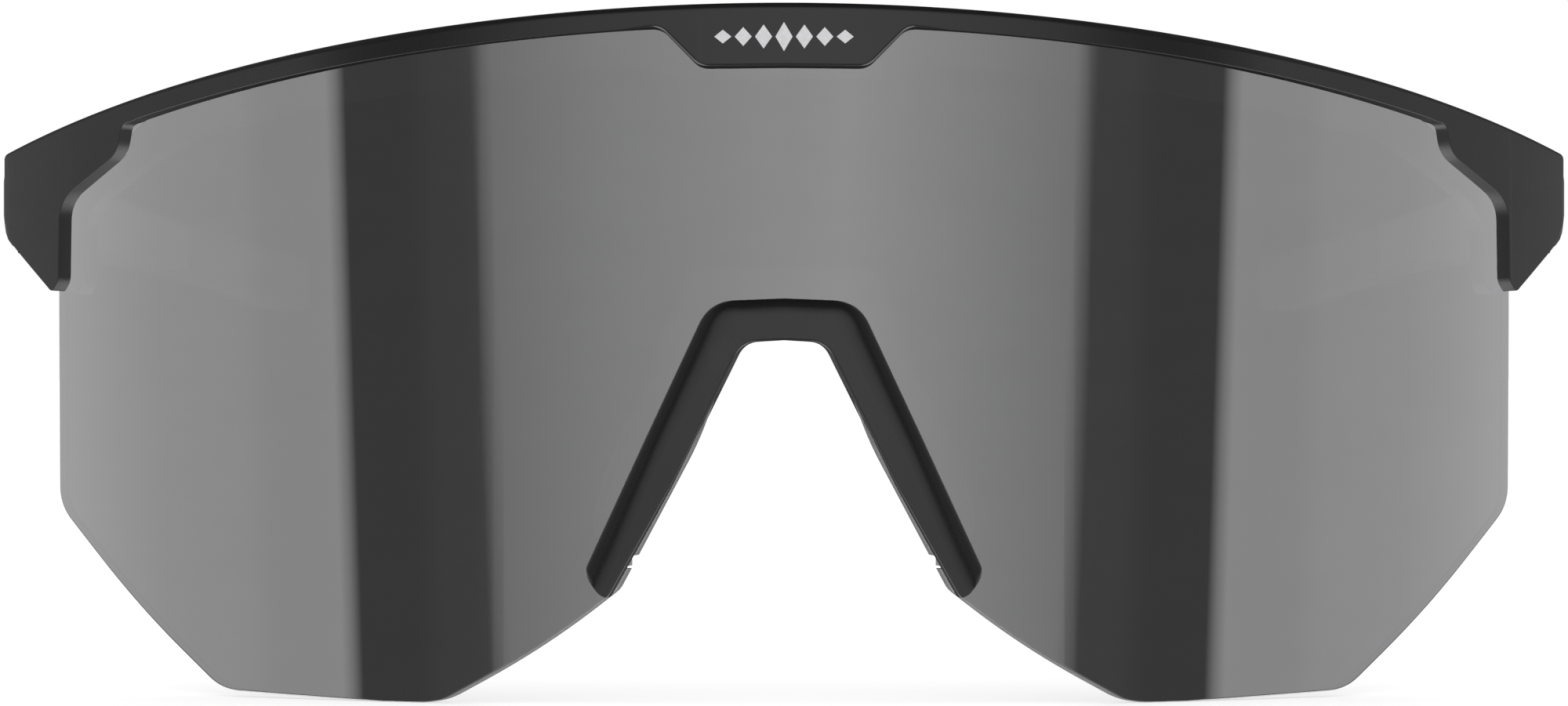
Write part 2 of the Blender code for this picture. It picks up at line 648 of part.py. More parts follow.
def add_temple(side, word, black, rubber, steel):
    axis = (side * HINGE_X, depth_to_y(HINGE_DEPTH), HINGE_HEIGHT)
    x, y, z = axis
    low, high = z - TONGUE_HEIGHT / 2, z + TONGUE_HEIGHT / 2
    temple = add_object("temple_" + word, loft(temple_rings(side)), black, axis)
    stem_x = sorted((side * (HINGE_X - TONGUE_INNER), side * (HINGE_X + TONGUE_OUTER)))
    stem = add_cutter("tongue_stem_" + word, box(stem_x, (y, depth_to_y(TONGUE_END)), (low, high)))
    knuckle = add_cutter("knuckle_" + word, cylinder(LUG_RADIUS - TONGUE_INSET, low, high, x, y))
    hole = cylinder(SCREW_RADIUS + HOLE_CLEARANCE, low - CLEAR, high + CLEAR, x, y)
    combine(temple, stem, "UNION")
    combine(temple, knuckle, "UNION")
    combine(temple, add_cutter("tongue_hole_" + word, hole), "DIFFERENCE")
    channel = core_path(side, CORE_START - GAP, TANG_END + CLEAR)
    combine(temple, add_cutter("core_bore_" + word, bent_rod(channel, CORE_RADIUS + GAP / 2)), "DIFFERENCE")

    grip = add_object("temple_grip_" + word, loft(grip_rings(side)), rubber, axis)
    combine(grip, add_cutter("tang_pocket_" + word, tang_space(side)), "DIFFERENCE")
    pocket = core_path(side, TANG_END - CLEAR, CORE_END + GAP)
    combine(grip, add_cutter("core_pocket_" + word, bent_rod(pocket, CORE_RADIUS + GAP / 2)), "DIFFERENCE")

    core = core_path(side, CORE_START, CORE_END)
    add_object("temple_core_" + word, bent_rod(core, CORE_RADIUS), steel, axis)


# ---- nose clip and pads ----
def strip_section(x):
    low, high = interpolate(STRIP_LOWER, x), interpolate(STRIP_TOP, x)
    front, back = LENS_RADIUS + NOSE_PROUD, MID_LENS - CLIP_OVERLAP
    edge = min(STRIP_EDGE_SHARE * (high - low), STRIP_EDGE)
    return [
        (back, low), (front - STRIP_SHOULDER, low), (front, low + edge), (front, high - edge),
        (front - STRIP_SHOULDER, high), (back, high),
    ]


def carrier_section(x):
    low, high = interpolate(CARRIER_LOWER, x), interpolate(CARRIER_TOP, x)
    front, back = MID_LENS + CLIP_OVERLAP, CARRIER_BACK
    return [
        (back, low + INNER_EDGE), (back + INNER_EDGE, low), (front, low),
        (front, high), (back + INNER_EDGE, high), (back, high - INNER_EDGE),
    ]


def leg_frame(side):
    """Unit vectors of a nose pad: down along the leg, back along the pad, and out through its face."""
    lean, splay = radians(LEG_LEAN), radians(PAD_SPLAY)
    down = Vector((side * sin(lean), 0.0, -cos(lean)))
    back = Vector((side * cos(lean) * sin(splay), cos(splay), sin(lean) * sin(splay)))
    return down, back, down.cross(back).normalized()


def pad_point(side, down_by, back_by=0.0, out_by=0.0):
    """A point of a nose pad, from the place where its front edge starts at the top."""
    down, back, out = leg_frame(side)
    x, depth, z = PAD_START
    start = Vector((side * x, depth_to_y(depth), z))
    return start + down * down_by + back * back_by + out * out_by


def pad_rings(side):
    rings = []
    for i in range(13):
        share = i / 12
        bulge = sqrt(max(1 - (2 * share - 1) ** 2, 0.0))
        depth = PAD_DEPTH * (PAD_TIP_DEPTH + (1 - PAD_TIP_DEPTH) * bulge)
        half = PAD_THICKNESS / 2 * (PAD_TIP_THICKNESS + (1 - PAD_TIP_THICKNESS) * bulge)
        front = PAD_TIP_BACK * (1 - bulge) + PAD_FRONT_GAP
        ring = []
        for turn in range(12):
            a = 2 * pi * turn / 12
            back_by = front + depth * (1 + cos(a)) / 2
            ring.append(pad_point(side, PAD_LENGTH * share, back_by, half * sin(a)))
        rings.append(ring)
    return rings


def add_nose(black, rubber, steel):
    strip = wrapped_loft(stations(1.5, STRIP_TOP[-1][0], STRIP_TOP, STRIP_LOWER), strip_section)
    clip = add_object("nose_clip", strip, black)
    carrier = wrapped_loft(stations(1.5, CARRIER_TOP[-1][0], CARRIER_TOP, CARRIER_LOWER), carrier_section)
    combine(clip, add_cutter("carrier", carrier), "UNION")
    combine(clip, lens_space("clip_groove"), "DIFFERENCE")
    for side, word in ((1, "left"), (-1, "right")):
        combine(clip, add_cutter("hook_" + word, hook_box(side, 0.0)), "UNION")
        middle = PAD_LENGTH * POST_PLACE
        post_end = PAD_DEPTH * POST_END
        post = (pad_point(side, middle, -POST_FRONT), pad_point(side, middle, post_end))
        seat = (pad_point(side, middle, -POST_FRONT - GAP), pad_point(side, middle, CLEAR))
        pocket = (pad_point(side, middle, -CLEAR), pad_point(side, middle, post_end + GAP))
        combine(clip, add_cutter("post_seat_" + word, rod(*seat, POST_RADIUS + GAP / 2)), "DIFFERENCE")
        add_object("nose_post_" + word, rod(*post, POST_RADIUS), steel)
        pad = add_object("nose_pad_" + word, loft(pad_rings(side)), rubber)
        combine(pad, add_cutter("post_pocket_" + word, rod(*pocket, POST_RADIUS + GAP / 2)), "DIFFERENCE")


def build():
    clear_scene()
    black = material("satin_black_nylon", SATIN_BLACK, 0.42)
    rubber = material("black_rubber", RUBBER_BLACK, 0.75)
    mirror = material("mirror_lens", LENS_GREY, 0.05, 0.6)
    steel = material("stainless_steel", STEEL, 0.3, 1.0)
    brass = material("brass", BRASS, 0.35, 1.0)
    nylon = material("natural_nylon", NYLON, 0.5)
    add_lens(mirror)
    add_front_frame(black)
    add_nose(black, rubber, steel)
    for side, word in ((1, "left"), (-1, "right")):
        add_hinge(side, word, steel, brass, nylon)
        add_temple(side, word, black, rubber, steel)


build()
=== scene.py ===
"""Looks of the wraparound sport sunglasses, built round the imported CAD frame.

Shapes are drawn in millimetres in the CAD's own frame and turned into metres as they become pieces.
The front of the glasses lies on an upright cylinder: its pieces are drawn flat, as outlines of
(distance from the middle, height), and are then wrapped round that cylinder.
"""

from math import asin, cos, pi, radians, sin, sqrt

import bmesh
import bpy
from mathutils import Matrix, Vector


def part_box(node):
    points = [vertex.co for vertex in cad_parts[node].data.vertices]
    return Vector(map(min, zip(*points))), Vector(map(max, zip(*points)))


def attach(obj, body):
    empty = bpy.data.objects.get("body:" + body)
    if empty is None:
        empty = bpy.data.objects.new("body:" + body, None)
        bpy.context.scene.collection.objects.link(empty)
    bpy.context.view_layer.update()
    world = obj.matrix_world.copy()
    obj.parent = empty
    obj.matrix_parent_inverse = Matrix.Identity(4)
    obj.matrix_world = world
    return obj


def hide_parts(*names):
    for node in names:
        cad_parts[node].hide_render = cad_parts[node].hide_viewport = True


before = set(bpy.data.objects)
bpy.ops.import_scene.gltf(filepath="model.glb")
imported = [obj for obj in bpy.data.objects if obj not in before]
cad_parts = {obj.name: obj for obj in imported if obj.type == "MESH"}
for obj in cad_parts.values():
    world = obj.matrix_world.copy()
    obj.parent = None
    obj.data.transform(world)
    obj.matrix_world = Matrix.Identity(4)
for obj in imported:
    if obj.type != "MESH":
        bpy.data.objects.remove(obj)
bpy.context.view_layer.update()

MM = 0.001
SIDES = ((1, "left"), (-1, "right"))
CUT, JOIN = "DIFFERENCE", "UNION"

# ---- sizes read from the frame ----
lens_low, lens_high = (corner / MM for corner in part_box("lens"))
front_low, front_high = (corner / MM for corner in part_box("front_frame"))
APEX_Y = lens_low.y  # front of the lens at the middle
LENS_HALF_WIDTH = lens_high.x
LENS_BOTTOM = lens_low.z
FRAME_PROUD = APEX_Y - front_low.y  # the frame's face stands this far in front of the lens
BROW_TOP = front_high.z
BLOCK_OUTER = front_high.x
fold_axis = [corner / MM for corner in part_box("hinge_screw_left")]
HINGE_X = (fold_axis[0].x + fold_axis[1].x) / 2
HINGE_Y = (fold_axis[0].y + fold_axis[1].y) / 2

# ---- driving dimensions ----
LENS_RADIUS = 88.0
LENS_THICKNESS = 2.0
FRAME_FLANGE = 1.7
GAP = 0.2
BROW_ARCH_HALF_WIDTH = 100.0
BROW_ARCH_RISE = 39.25
BAR_HEIGHT = 1.98
GROOVE_ROOF = 0.95
END_HALF_WIDTH = 71.7
END_CORNER = 0.4
HINGE_HEIGHT = 43.6
HINGE_REACH = 8.0
LUG_RADIUS = 2.5
LUG_THICKNESS = 1.7
TONGUE_HEIGHT = 3.4
WASHER_THICKNESS = 0.3
SCREW_RADIUS = 0.75
SCREW_HEAD_RADIUS = 1.3
SCREW_HEAD_HEIGHT = 0.7
INSERT_RADIUS = 1.25
HOLE_CLEARANCE = 0.15
CORE_RADIUS = 0.6
POST_RADIUS = 0.6
NOSE_PROUD = 1.5
CARRIER_THICKNESS = 1.5
PAD_LENGTH = 20.0
PAD_DEPTH = 8.6
PAD_THICKNESS = 2.4
PAD_SPLAY = 24.0
LEG_LEAN = 25.2

# roundings of the fine surface: how far each reaches across the face, and how far down the edge
TOP_ROUND = 0.75
LIP_ROUND = 0.3
BAR_LIP_ROUND = 0.06  # beyond the centre tab
END_ROUND = 0.35  # along the end piece's upper and outer edges
BACK_ROUND = 0.3
LIP_DRAFT = 0.2  # the centre tab's lower face rises this far towards the front
END_DRAFT = 0.05  # the same beyond the centre tab
LENS_ROUND = 0.12
CROWN_REACH = 2.6  # the nose strip's outer edge is one broad crown
CROWN_DROP = 1.35
STRIP_ROUND = 0.25
FULL_BAND = 3.6  # where the nose clip is narrower than this, its roundings shrink
SUPPORT = 0.05  # points this far past a rounding keep the face beside it flat
PAST = 1.0  # cutting shapes reach this far past what they cut
FRONT_SPACING = 0.8  # between places along the front
CUTTER_SPACING = 2.0  # the same for the lens as a cutting shape
MIN_STEP = 0.012  # places nearer than this count as one
MERGE_DISTANCE = 1e-5

# ---- worked-out dimensions ----
LENS_BACK = LENS_RADIUS - LENS_THICKNESS
MID_LENS = LENS_RADIUS - LENS_THICKNESS / 2
FRAME_FRONT = LENS_RADIUS + FRAME_PROUD
FRAME_BACK = LENS_BACK - GAP - FRAME_FLANGE
CARRIER_BACK = LENS_BACK - GAP - CARRIER_THICKNESS
END_ANGLE = asin(END_HALF_WIDTH / FRAME_FRONT)
END_X = LENS_RADIUS * sin(END_ANGLE)
HINGE_LOW = HINGE_HEIGHT - HINGE_REACH / 2
HINGE_HIGH = HINGE_HEIGHT + HINGE_REACH / 2
HOLE_RADIUS = SCREW_RADIUS + HOLE_CLEARANCE


# ---- meshes ----
def loft(rings, ladder=False):
    """A closed body through rings with the same number of points. A ladder closes the ends with rungs."""
    bm = bmesh.new()
    made = [[bm.verts.new(point) for point in ring] for ring in rings]
    for near, far in zip(made, made[1:]):
        for i in range(len(near)):
            j = (i + 1) % len(near)
            bm.faces.new((near[i], near[j], far[j], far[i]))
    for ring in (made[0], made[-1]):
        if not ladder:
            bm.faces.new(ring)
            continue
        last = len(ring) - 1
        for i in range(len(ring) // 2 - 1):
            bm.faces.new((ring[i], ring[i + 1], ring[last - i - 1], ring[last - i]))
    bmesh.ops.recalc_face_normals(bm, faces=bm.faces)
    return bm


def turned(profile, x, y, sides=48):
    """A body turned about an upright axis. profile is a closed outline of (radius, height); 0 is the axis."""
    bm = bmesh.new()
    columns = []
    poles = [bm.verts.new((x, y, z)) if radius == 0 else None for radius, z in profile]
    for i in range(sides):
        t = 2 * pi * i / sides
        column = []
        for pole, (radius, z) in zip(poles, profile):
            column.append(pole or bm.verts.new((x + radius * cos(t), y + radius * sin(t), z)))
        columns.append(column)
    for i in range(sides):
        near, far = columns[i], columns[(i + 1) % sides]
        for j in range(len(profile)):
            k = (j + 1) % len(profile)
            corners = []
            for vert in (near[j], near[k], far[k], far[j]):
                if vert not in corners:
                    corners.append(vert)
            if len(corners) > 2:
                bm.faces.new(corners)
    bmesh.ops.recalc_face_normals(bm, faces=bm.faces)
    return bm


def cylinder(radius, low, high, x, y):
    return turned([(0, low), (radius, low), (radius, high), (0, high)], x, y)


def box(x_range, y_range, z_range):
    rings = []
    for z in z_range:
        (x0, x1), (y0, y1) = x_range, y_range
        rings.append([(x0, y0, z), (x1, y0, z), (x1, y1, z), (x0, y1, z)])
    return loft(rings)


def rod(start, end, radius, sides=24):
    start, end = Vector(start), Vector(end)
    along = (end - start).normalized()
    side = along.orthogonal().normalized()
    other = along.cross(side)
    turns = [2 * pi * i / sides for i in range(sides)]
    return loft([[c + (side * cos(t) + other * sin(t)) * radius for t in turns] for c in (start, end)])


def loose_object(name, bm):
    mesh = bpy.data.meshes.new(name)
    bm.to_mesh(mesh)
    bm.free()
    obj = bpy.data.objects.new(name, mesh)
    bpy.context.collection.objects.link(obj)
    return obj


def carved(bm, *steps, crossed=False):
    """bm after each (operation, shape) of steps, as exact booleans.

    crossed allows shapes that cross themselves."""
    target = loose_object("target", bm)
    tools = []
    for operation, shape in steps:
        tool = loose_object("tool", shape)
        step = target.modifiers.new("step", "BOOLEAN")
        step.operation = operation
        step.solver = "EXACT"
        step.object = tool
        step.use_self = crossed
        tools.append(tool)
    result = bmesh.new()
    result.from_object(target, bpy.context.evaluated_depsgraph_get())
    for used in [target] + tools:
        mesh = used.data
        bpy.data.objects.remove(used, do_unlink=True)
        bpy.data.meshes.remove(mesh)
    bmesh.ops.dissolve_degenerate(result, edges=result.edges, dist=MERGE_DISTANCE)
    return result


def add_piece(name, bm, finish, body, replaced=(), sharp=32):
    """A finished piece from bm, riding on a CAD body in place of the CAD nodes it replaces."""
    bm.transform(Matrix.Scale(MM, 4))
    obj = loose_object(name, bm)
    obj.data.shade_smooth()
    obj.data.set_sharp_from_angle(angle=radians(sharp))
    obj.data.materials.append(finish)
    obj.visible_glossy = False      # gloss shows the studio's panels only, as in a clean product picture
    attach(obj, body)
    if replaced:
        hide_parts(*replaced)
    return obj


# ---- curves ----
def bend(before, corner, after, steps):
    """Points of the curve from before to after that a corner pulls towards itself."""
    turns = [k / steps for k in range(steps + 1)]
    return [tuple(before * (1 - t) ** 2 + corner * 2 * t * (1 - t) + after * t**2) for t in turns]


def rounded(corners, steps=10, between=0):
    """Points (x, height) of an open outline of corners. A corner (x, height, reach) is rounded from reach
    before it to reach after it. between is the number of points between the roundings."""
    points = []
    for i, (x, z, *reach) in enumerate(corners):
        here = Vector((x, z))
        before = after = here
        if reach:
            before = here + (Vector(corners[i - 1][:2]) - here).normalized() * reach[0]
            after = here + (Vector(corners[i + 1][:2]) - here).normalized() * reach[0]
        if points and between:
            start = Vector(points[-1])
            points += [tuple(start.lerp(before, k / (between + 1))) for k in range(1, between + 1)]
        if not reach:
            points.append((x, z))
        else:
            points += bend(before, here, after, steps)
    return points


def soften(corners, steps=5):
    """A closed outline of (u, v, reach) corners with each corner rounded."""
    points = []
    for i, (u, v, reach) in enumerate(corners):
        here = Vector((u, v))
        back = (Vector(corners[i - 1][:2]) - here).normalized()
        on = (Vector(corners[(i + 1) % len(corners)][:2]) - here).normalized()
        before, after = here + back * reach, here + on * reach
        points.append(tuple(before + back * SUPPORT))
        points += bend(before, here, after, steps)
        points.append(tuple(after + on * SUPPORT))
    return points


def interpolate(points, x):
    """Height at x on the straight stretches between points, which run in order of x."""
    if x <= points[0][0]:
        return points[0][1]
    for (x0, z0), (x1, z1) in zip(points, points[1:]):
        if x <= x1:
            return z0 + (z1 - z0) * (x - x0) / (x1 - x0)
    return points[-1][1]


def smooth(points, x):
    """Height at x on the smooth curve through points, which run in order of x."""
    x = min(max(x, points[0][0]), points[-1][0])
    last = len(points) - 1
    i = max(k for k in range(last) if points[k][0] <= x)
    (x0, z0), (x1, z1) = points[i], points[i + 1]

    def slope(k):
        a, b = points[max(k - 1, 0)], points[min(k + 1, last)]
        return (b[1] - a[1]) / (b[0] - a[0])

    t = (x - x0) / (x1 - x0)
    rise = z0 * (2 * t**3 - 3 * t**2 + 1) + z1 * (3 * t**2 - 2 * t**3)
    return rise + (x1 - x0) * (slope(i) * (t**3 - 2 * t**2 + t) + slope(i + 1) * (t**3 - t**2))


def spaced(start, end, count):
    """count + 1 even steps from start to end."""
    return [start + (end - start) * i / count for i in range(count + 1)]


def stations(spacing, end, *outlines):
    """Places from the middle to end: evenly spaced ones, and every place where an outline turns."""
    wanted = spaced(0.0, end, round(end / spacing)) + [x for outline in outlines for x, _ in outline]
    kept = [0.0]
    for x in sorted(wanted):
        if kept[-1] + MIN_STEP < x < end - MIN_STEP:
            kept.append(x)
    return kept + [end]


def normals(points, up):
    """Unit normals into the material of an outline that runs outwards from the middle."""
    found = []
    for i, (x, z) in enumerate(points):
        before = points[i - 1] if i else (-points[1][0], points[1][1])
        after = points[min(i + 1, len(points) - 1)]
        along = Vector((after[0] - before[0], after[1] - before[1])).normalized()
        found.append(Vector((-along.y, along.x)) * up)
    return found


# ---- the wrapped front ----
def wrap(angle, radius, z):
    """A point on the upright cylinder that the front of the glasses lies on."""
    return (radius * sin(angle), APEX_Y + LENS_RADIUS - radius * cos(angle), z)


def angle_at(x):
    return asin(max(-1.0, min(1.0, x / LENS_RADIUS)))


def edge(point, normal, reach, wall, face, steps=5, support=SUPPORT):
    """A rounded edge as (x, height, radius) points, from just inside the face round to the wall."""
    made = [(*(Vector(point) + normal * (reach + support)), face)]
    for k in range(steps + 1):
        a = pi / 2 * (1 - k / steps)
        made.append((*(Vector(point) + normal * reach * (1 - cos(a))), wall + (face - wall) * sin(a)))
    return made


def wrapped_shell(lows, highs):
    """A body on the cylinder. Each station has a lower and an upper rim, as (x, height, radius) points
    that run from the front face to the back face."""
    rings = [list(reversed(low)) + high for low, high in zip(lows, highs)]
    mirrored = [[(-x, z, radius) for x, z, radius in ring] for ring in reversed(rings[1:])]
    placed = []
    for ring in mirrored + rings:
        placed.append([wrap(angle_at(x), radius, z) for x, z, radius in ring])
    return loft(placed, ladder=True)


TAB_CORNERS = [(0.0, 54.83), (7.15, 54.77, 0.8), (10.5, 58.2, 0.8), (14.0, 58.1)]
END_CORNERS = [
    (57.0, 51.12), (58.2, 50.8, 0.5), (58.66, 48.2, 1.2), (64.4, 44.1, 1.7), (64.52, 36.9, 0.5),
    (65.2, 35.85, 0.4), (70.1, 41.0, 1.3), (END_X, 42.4),
]
FLANGE_CORNERS = [
    (0.0, 54.1), (10.3, 54.1, 0.8), (11.9, 55.5, 0.8), (30.0, 53.9, 6.0), (45.4, 51.4, 5.0),
    (54.0, 49.7, 2.5), (59.0, 47.0, 1.5), (63.0, 44.2, 0.7), (64.35, 42.0, 1.0), (64.7, 37.4, 0.4),
    (65.5, 37.0, 0.4), (70.0, 40.9, 0.3), (END_X, 41.7),
]
SHOULDER_CORNERS = [
    (57.0, 52.15), (59.9, 49.6, 0.6), (63.9, 46.6, 0.8), (65.7, 44.0, 0.8), (66.0, 40.0),
]
LENS_CORNERS = [
    (0.0, 33.2), (3.6, 33.0, 1.4), (7.5, 22.7, 2.0), (14.4, 10.0, 0.5), (21.0, 4.95, 6.0),
    (30.1, LENS_BOTTOM, 1.7), (32.0, LENS_BOTTOM), (35.0, LENS_BOTTOM), (49.75, 0.6, 1.6),
    (57.6, 7.5, 5.5), (65.9, 16.6, 1.7), (LENS_HALF_WIDTH, 34.0),
]
# the nose clip's outlines run from the bridge down the leg and round the corners of its tip
STRIP_OUTER_CORNERS = [
    (0.0, 35.1), (6.4, 34.85, 2.2), (11.8, 23.25), (17.2, 11.55, 0.6), (16.7, 10.93),
]
STRIP_INNER_CORNERS = [
    (0.0, 31.5), (3.5, 31.4, 1.5), (9.7, 18.7), (15.0, 9.15, 0.6), (15.65, 9.65),
]
CARRIER_OUTER_CORNERS = [
    (0.0, 38.0), (8.3, 37.7, 1.6), (11.85, 28.0), (12.3, 26.75), (16.55, 15.2, 0.8), (16.1, 14.2),
]
CARRIER_INNER_CORNERS = [
    (0.0, 31.5), (3.5, 31.3, 1.2), (7.45, 23.6), (8.1, 22.9), (14.7, 10.9, 0.6), (15.2, 11.8),
]
NOTCH_X = 13.55
NOTCH_Z = 12.4
NOTCH_DEPTH = 0.9
NOTCH_OPENING = 1.5  # towards the nose
HOOK_HEIGHT = 0.75
HOOK_REACH = 0.6  # past the gap on either side of the lens
FLANGE_PAST_LIP = 0.3  # the flange hangs at least this far below the lip
STEP_HALF = 0.4  # of the step from lip to flange, about mid lens
TAB_SHARE = [(11.0, 1.0), (14.0, 0.0)]  # how much of the tab's edge a place gets
OUTER_SHARE = [(69.0, 0.0), (END_X, 1.0)]  # the same for the outer end
TOP_BLEND_START = 15.0
TOP_BLEND_LENGTH = 40.0
CORNER_TURNS = range(0, 85, 9)  # degrees round the upper outer corner

TAB_EDGE = rounded(TAB_CORNERS)
END_EDGE = rounded(END_CORNERS)
FLANGE_EDGE = rounded(FLANGE_CORNERS, 6)
LENS_SHOULDER = rounded(SHOULDER_CORNERS, 6)
LENS_LOWER = rounded(LENS_CORNERS)


def frame_top(x):
    """The brow arch, with the end piece's upper corner rounded off."""
    across = x * FRAME_FRONT / LENS_RADIUS
    arch = BROW_TOP - BROW_ARCH_RISE * (1 - sqrt(1 - (across / BROW_ARCH_HALF_WIDTH) ** 2))
    past = max(x - (END_X - END_CORNER), 0.0)
    return arch - END_CORNER + sqrt(max(END_CORNER**2 - past**2, 0.0))


def lip_height(x):
    if x >= END_EDGE[0][0]:
        return interpolate(END_EDGE, x)
    bar = frame_top(x) - BAR_HEIGHT
    return min(bar, interpolate(TAB_EDGE, x)) if x < TAB_EDGE[-1][0] else bar


def flange_height(x):
    return min(interpolate(FLANGE_EDGE, x), lip_height(x) - FLANGE_PAST_LIP)


def lens_top(x):
    return interpolate(LENS_SHOULDER, x) if x > LENS_SHOULDER[0][0] else frame_top(x) - GROOVE_ROOF


def lens_shell(grow=0.0, spacing=FRONT_SPACING):
    """The lens, or with grow the room that it needs."""
    places = stations(spacing, LENS_HALF_WIDTH, LENS_LOWER, LENS_SHOULDER)
    low = [(x, interpolate(LENS_LOWER, x)) for x in places]
    high = [(x, lens_top(x)) for x in places]
    front, back = LENS_RADIUS + grow, LENS_BACK - grow
    lows, highs = [], []
    for rims, curve, up in ((lows, low, 1), (highs, high, -1)):
        for point, normal in zip(curve, normals(curve, up)):
            place = Vector(point) - normal * grow
            rim = edge(place, normal, LENS_ROUND, front - LENS_ROUND, front)
            rim += reversed(edge(place, normal, LENS_ROUND, back + LENS_ROUND, back))
            rims.append(rim)
    return wrapped_shell(lows, highs)


def frame_shell():
    corner = [(END_X - END_CORNER * (1 - sin(radians(a))), 0.0) for a in CORNER_TURNS]
    places = stations(FRONT_SPACING, END_X, TAB_EDGE, END_EDGE, FLANGE_EDGE, corner)
    lip = [(x, lip_height(x)) for x in places]
    top = [(x, frame_top(x)) for x in places]
    flange = [(x, flange_height(x)) for x in places]
    step = (LENS_RADIUS, MID_LENS + STEP_HALF, MID_LENS - STEP_HALF)
    lows, highs = [], []
    directions = zip(normals(lip, 1), normals(top, -1), normals(flange, 1))
    for i, (into_lip, into_top, into_flange) in enumerate(directions):
        x = places[i]
        near_tab, near_end = interpolate(TAB_SHARE, x), interpolate(OUTER_SHARE, x)
        lip_round = BAR_LIP_ROUND + (LIP_ROUND - BAR_LIP_ROUND) * near_tab
        lip_round += (END_ROUND - BAR_LIP_ROUND) * near_end
        outwards = min(max((x - TOP_BLEND_START) / TOP_BLEND_LENGTH, 0.0), 1.0)
        top_round = TOP_ROUND + (END_ROUND - TOP_ROUND) * outwards
        lip_front = (x, lip[i][1] + END_DRAFT + (LIP_DRAFT - END_DRAFT) * near_tab)
        low = edge(lip_front, into_lip, lip_round, FRAME_FRONT - lip_round, FRAME_FRONT)
        low += [(*lip[i], step[0]), (*lip[i], step[1]), (*flange[i], step[2])]
        low += reversed(edge(flange[i], into_flange, BACK_ROUND, FRAME_BACK + BACK_ROUND, FRAME_BACK))
        high = edge(top[i], into_top, top_round, FRAME_FRONT - top_round, FRAME_FRONT)
        high += [(*top[i], radius) for radius in step]
        high += reversed(edge(top[i], into_top, BACK_ROUND, FRAME_BACK + BACK_ROUND, FRAME_BACK))
        lows.append(low)
        highs.append(high)
    return wrapped_shell(lows, highs)


# ---- front frame ----
# the hinge block's line: (depth behind the front of the lens, inner, outer, lower, upper limit)
BLOCK_LINE = [
    (34.5, 69.6, 71.1, 43.0, 47.2), (36.5, 68.4, 71.75, 40.6, 47.9),
    (38.5, 66.6, 72.0, 39.8, 47.7), (41.1, 65.7, BLOCK_OUTER, 39.6, 47.6),
]
BLOCK_RINGS = 14
BLOCK_INNER_EDGE = 0.3
BLOCK_FRONT_EDGE = 0.6  # rounding of the outer edges where the block starts
LOW_EDGE_GAIN = 3.0  # and what they gain over the first stretch
HIGH_EDGE_GAIN = 0.7
GAIN_DEPTH = 3.0
LUG_LENGTH = 4.5


def limits_at(line, depth):
    """The limits of a line of (depth, limit ...) rows at that depth."""
    return [smooth([(row[0], row[k]) for row in line], depth) for k in range(1, len(line[0]))]


def hinge_block(side):
    """The end piece's body behind its front face, down to the flat that the temple butts against."""
    rings = []
    start, end = BLOCK_LINE[0][0], BLOCK_LINE[-1][0]
    for depth in spaced(start, end, BLOCK_RINGS):
        inner, outer, low, high = limits_at(BLOCK_LINE, depth)
        share = min((depth - start) / GAIN_DEPTH, 1.0)
        soft_low = BLOCK_FRONT_EDGE + LOW_EDGE_GAIN * share
        soft_high = BLOCK_FRONT_EDGE + HIGH_EDGE_GAIN * share
        outline = soften([
            (inner, low, BLOCK_INNER_EDGE), (outer, low, soft_low),
            (outer, high, soft_high), (inner, high, BLOCK_INNER_EDGE),
        ])
        rings.append([(side * x, APEX_Y + depth, z) for x, z in outline])
    return loft(rings)


def lug(side, low, high):
    """One of the two ears that the hinge screw passes through."""
    outline = [(LUG_RADIUS, -LUG_LENGTH)]
    outline += [(LUG_RADIUS * cos(radians(a)), LUG_RADIUS * sin(radians(a))) for a in range(0, 181, 6)]
    outline += [(-LUG_RADIUS, -LUG_LENGTH)]
    return loft([[(side * (HINGE_X + x), HINGE_Y + y, z) for x, y in outline] for z in (low, high)])


def front_frame_mesh():
    steps = [(CUT, lens_shell(GAP, CUTTER_SPACING))]
    for side, _ in SIDES:
        lower, upper = (HINGE_LOW, HINGE_LOW + LUG_THICKNESS), (HINGE_HIGH - LUG_THICKNESS, HINGE_HIGH)
        steps += [(JOIN, hinge_block(side)), (JOIN, lug(side, *lower)), (JOIN, lug(side, *upper))]
        seats = (
            (HOLE_RADIUS, HINGE_LOW - PAST, HINGE_HIGH + PAST),
            (SCREW_HEAD_RADIUS + HOLE_CLEARANCE, HINGE_HIGH - SCREW_HEAD_HEIGHT - GAP, HINGE_HIGH + PAST),
            (INSERT_RADIUS + HOLE_CLEARANCE, HINGE_LOW - PAST, HINGE_LOW + LUG_THICKNESS - GAP),
        )
        for radius, low, high in seats:
            steps.append((CUT, cylinder(radius, low, high, side * HINGE_X, HINGE_Y)))
    return carved(frame_shell(), *steps)


def hook_box(side, extra, open_by=0.0):
    """The hook's stem, which passes through the lens's notch.

    With extra all round, and open towards the nose, it is the notch."""
    rings = []
    reach = NOTCH_DEPTH - GAP + extra
    height = HOOK_HEIGHT + 2 * extra
    for radius in (LENS_BACK - GAP - HOOK_REACH - extra, LENS_RADIUS + GAP + HOOK_REACH + extra):
        x, y, z = wrap(angle_at(NOTCH_X), radius, NOTCH_Z)
        corners = ((-open_by, -0.5), (reach, -0.5), (reach, 0.5), (-open_by, 0.5))
        rings.append([(side * (x + dx), y, z + dz * height) for dx, dz in corners])
    return loft(rings)


def lens_mesh():
    notches = [hook_box(side, GAP, NOTCH_OPENING) for side, _ in SIDES]
    return carved(lens_shell(), *[(CUT, notch) for notch in notches])


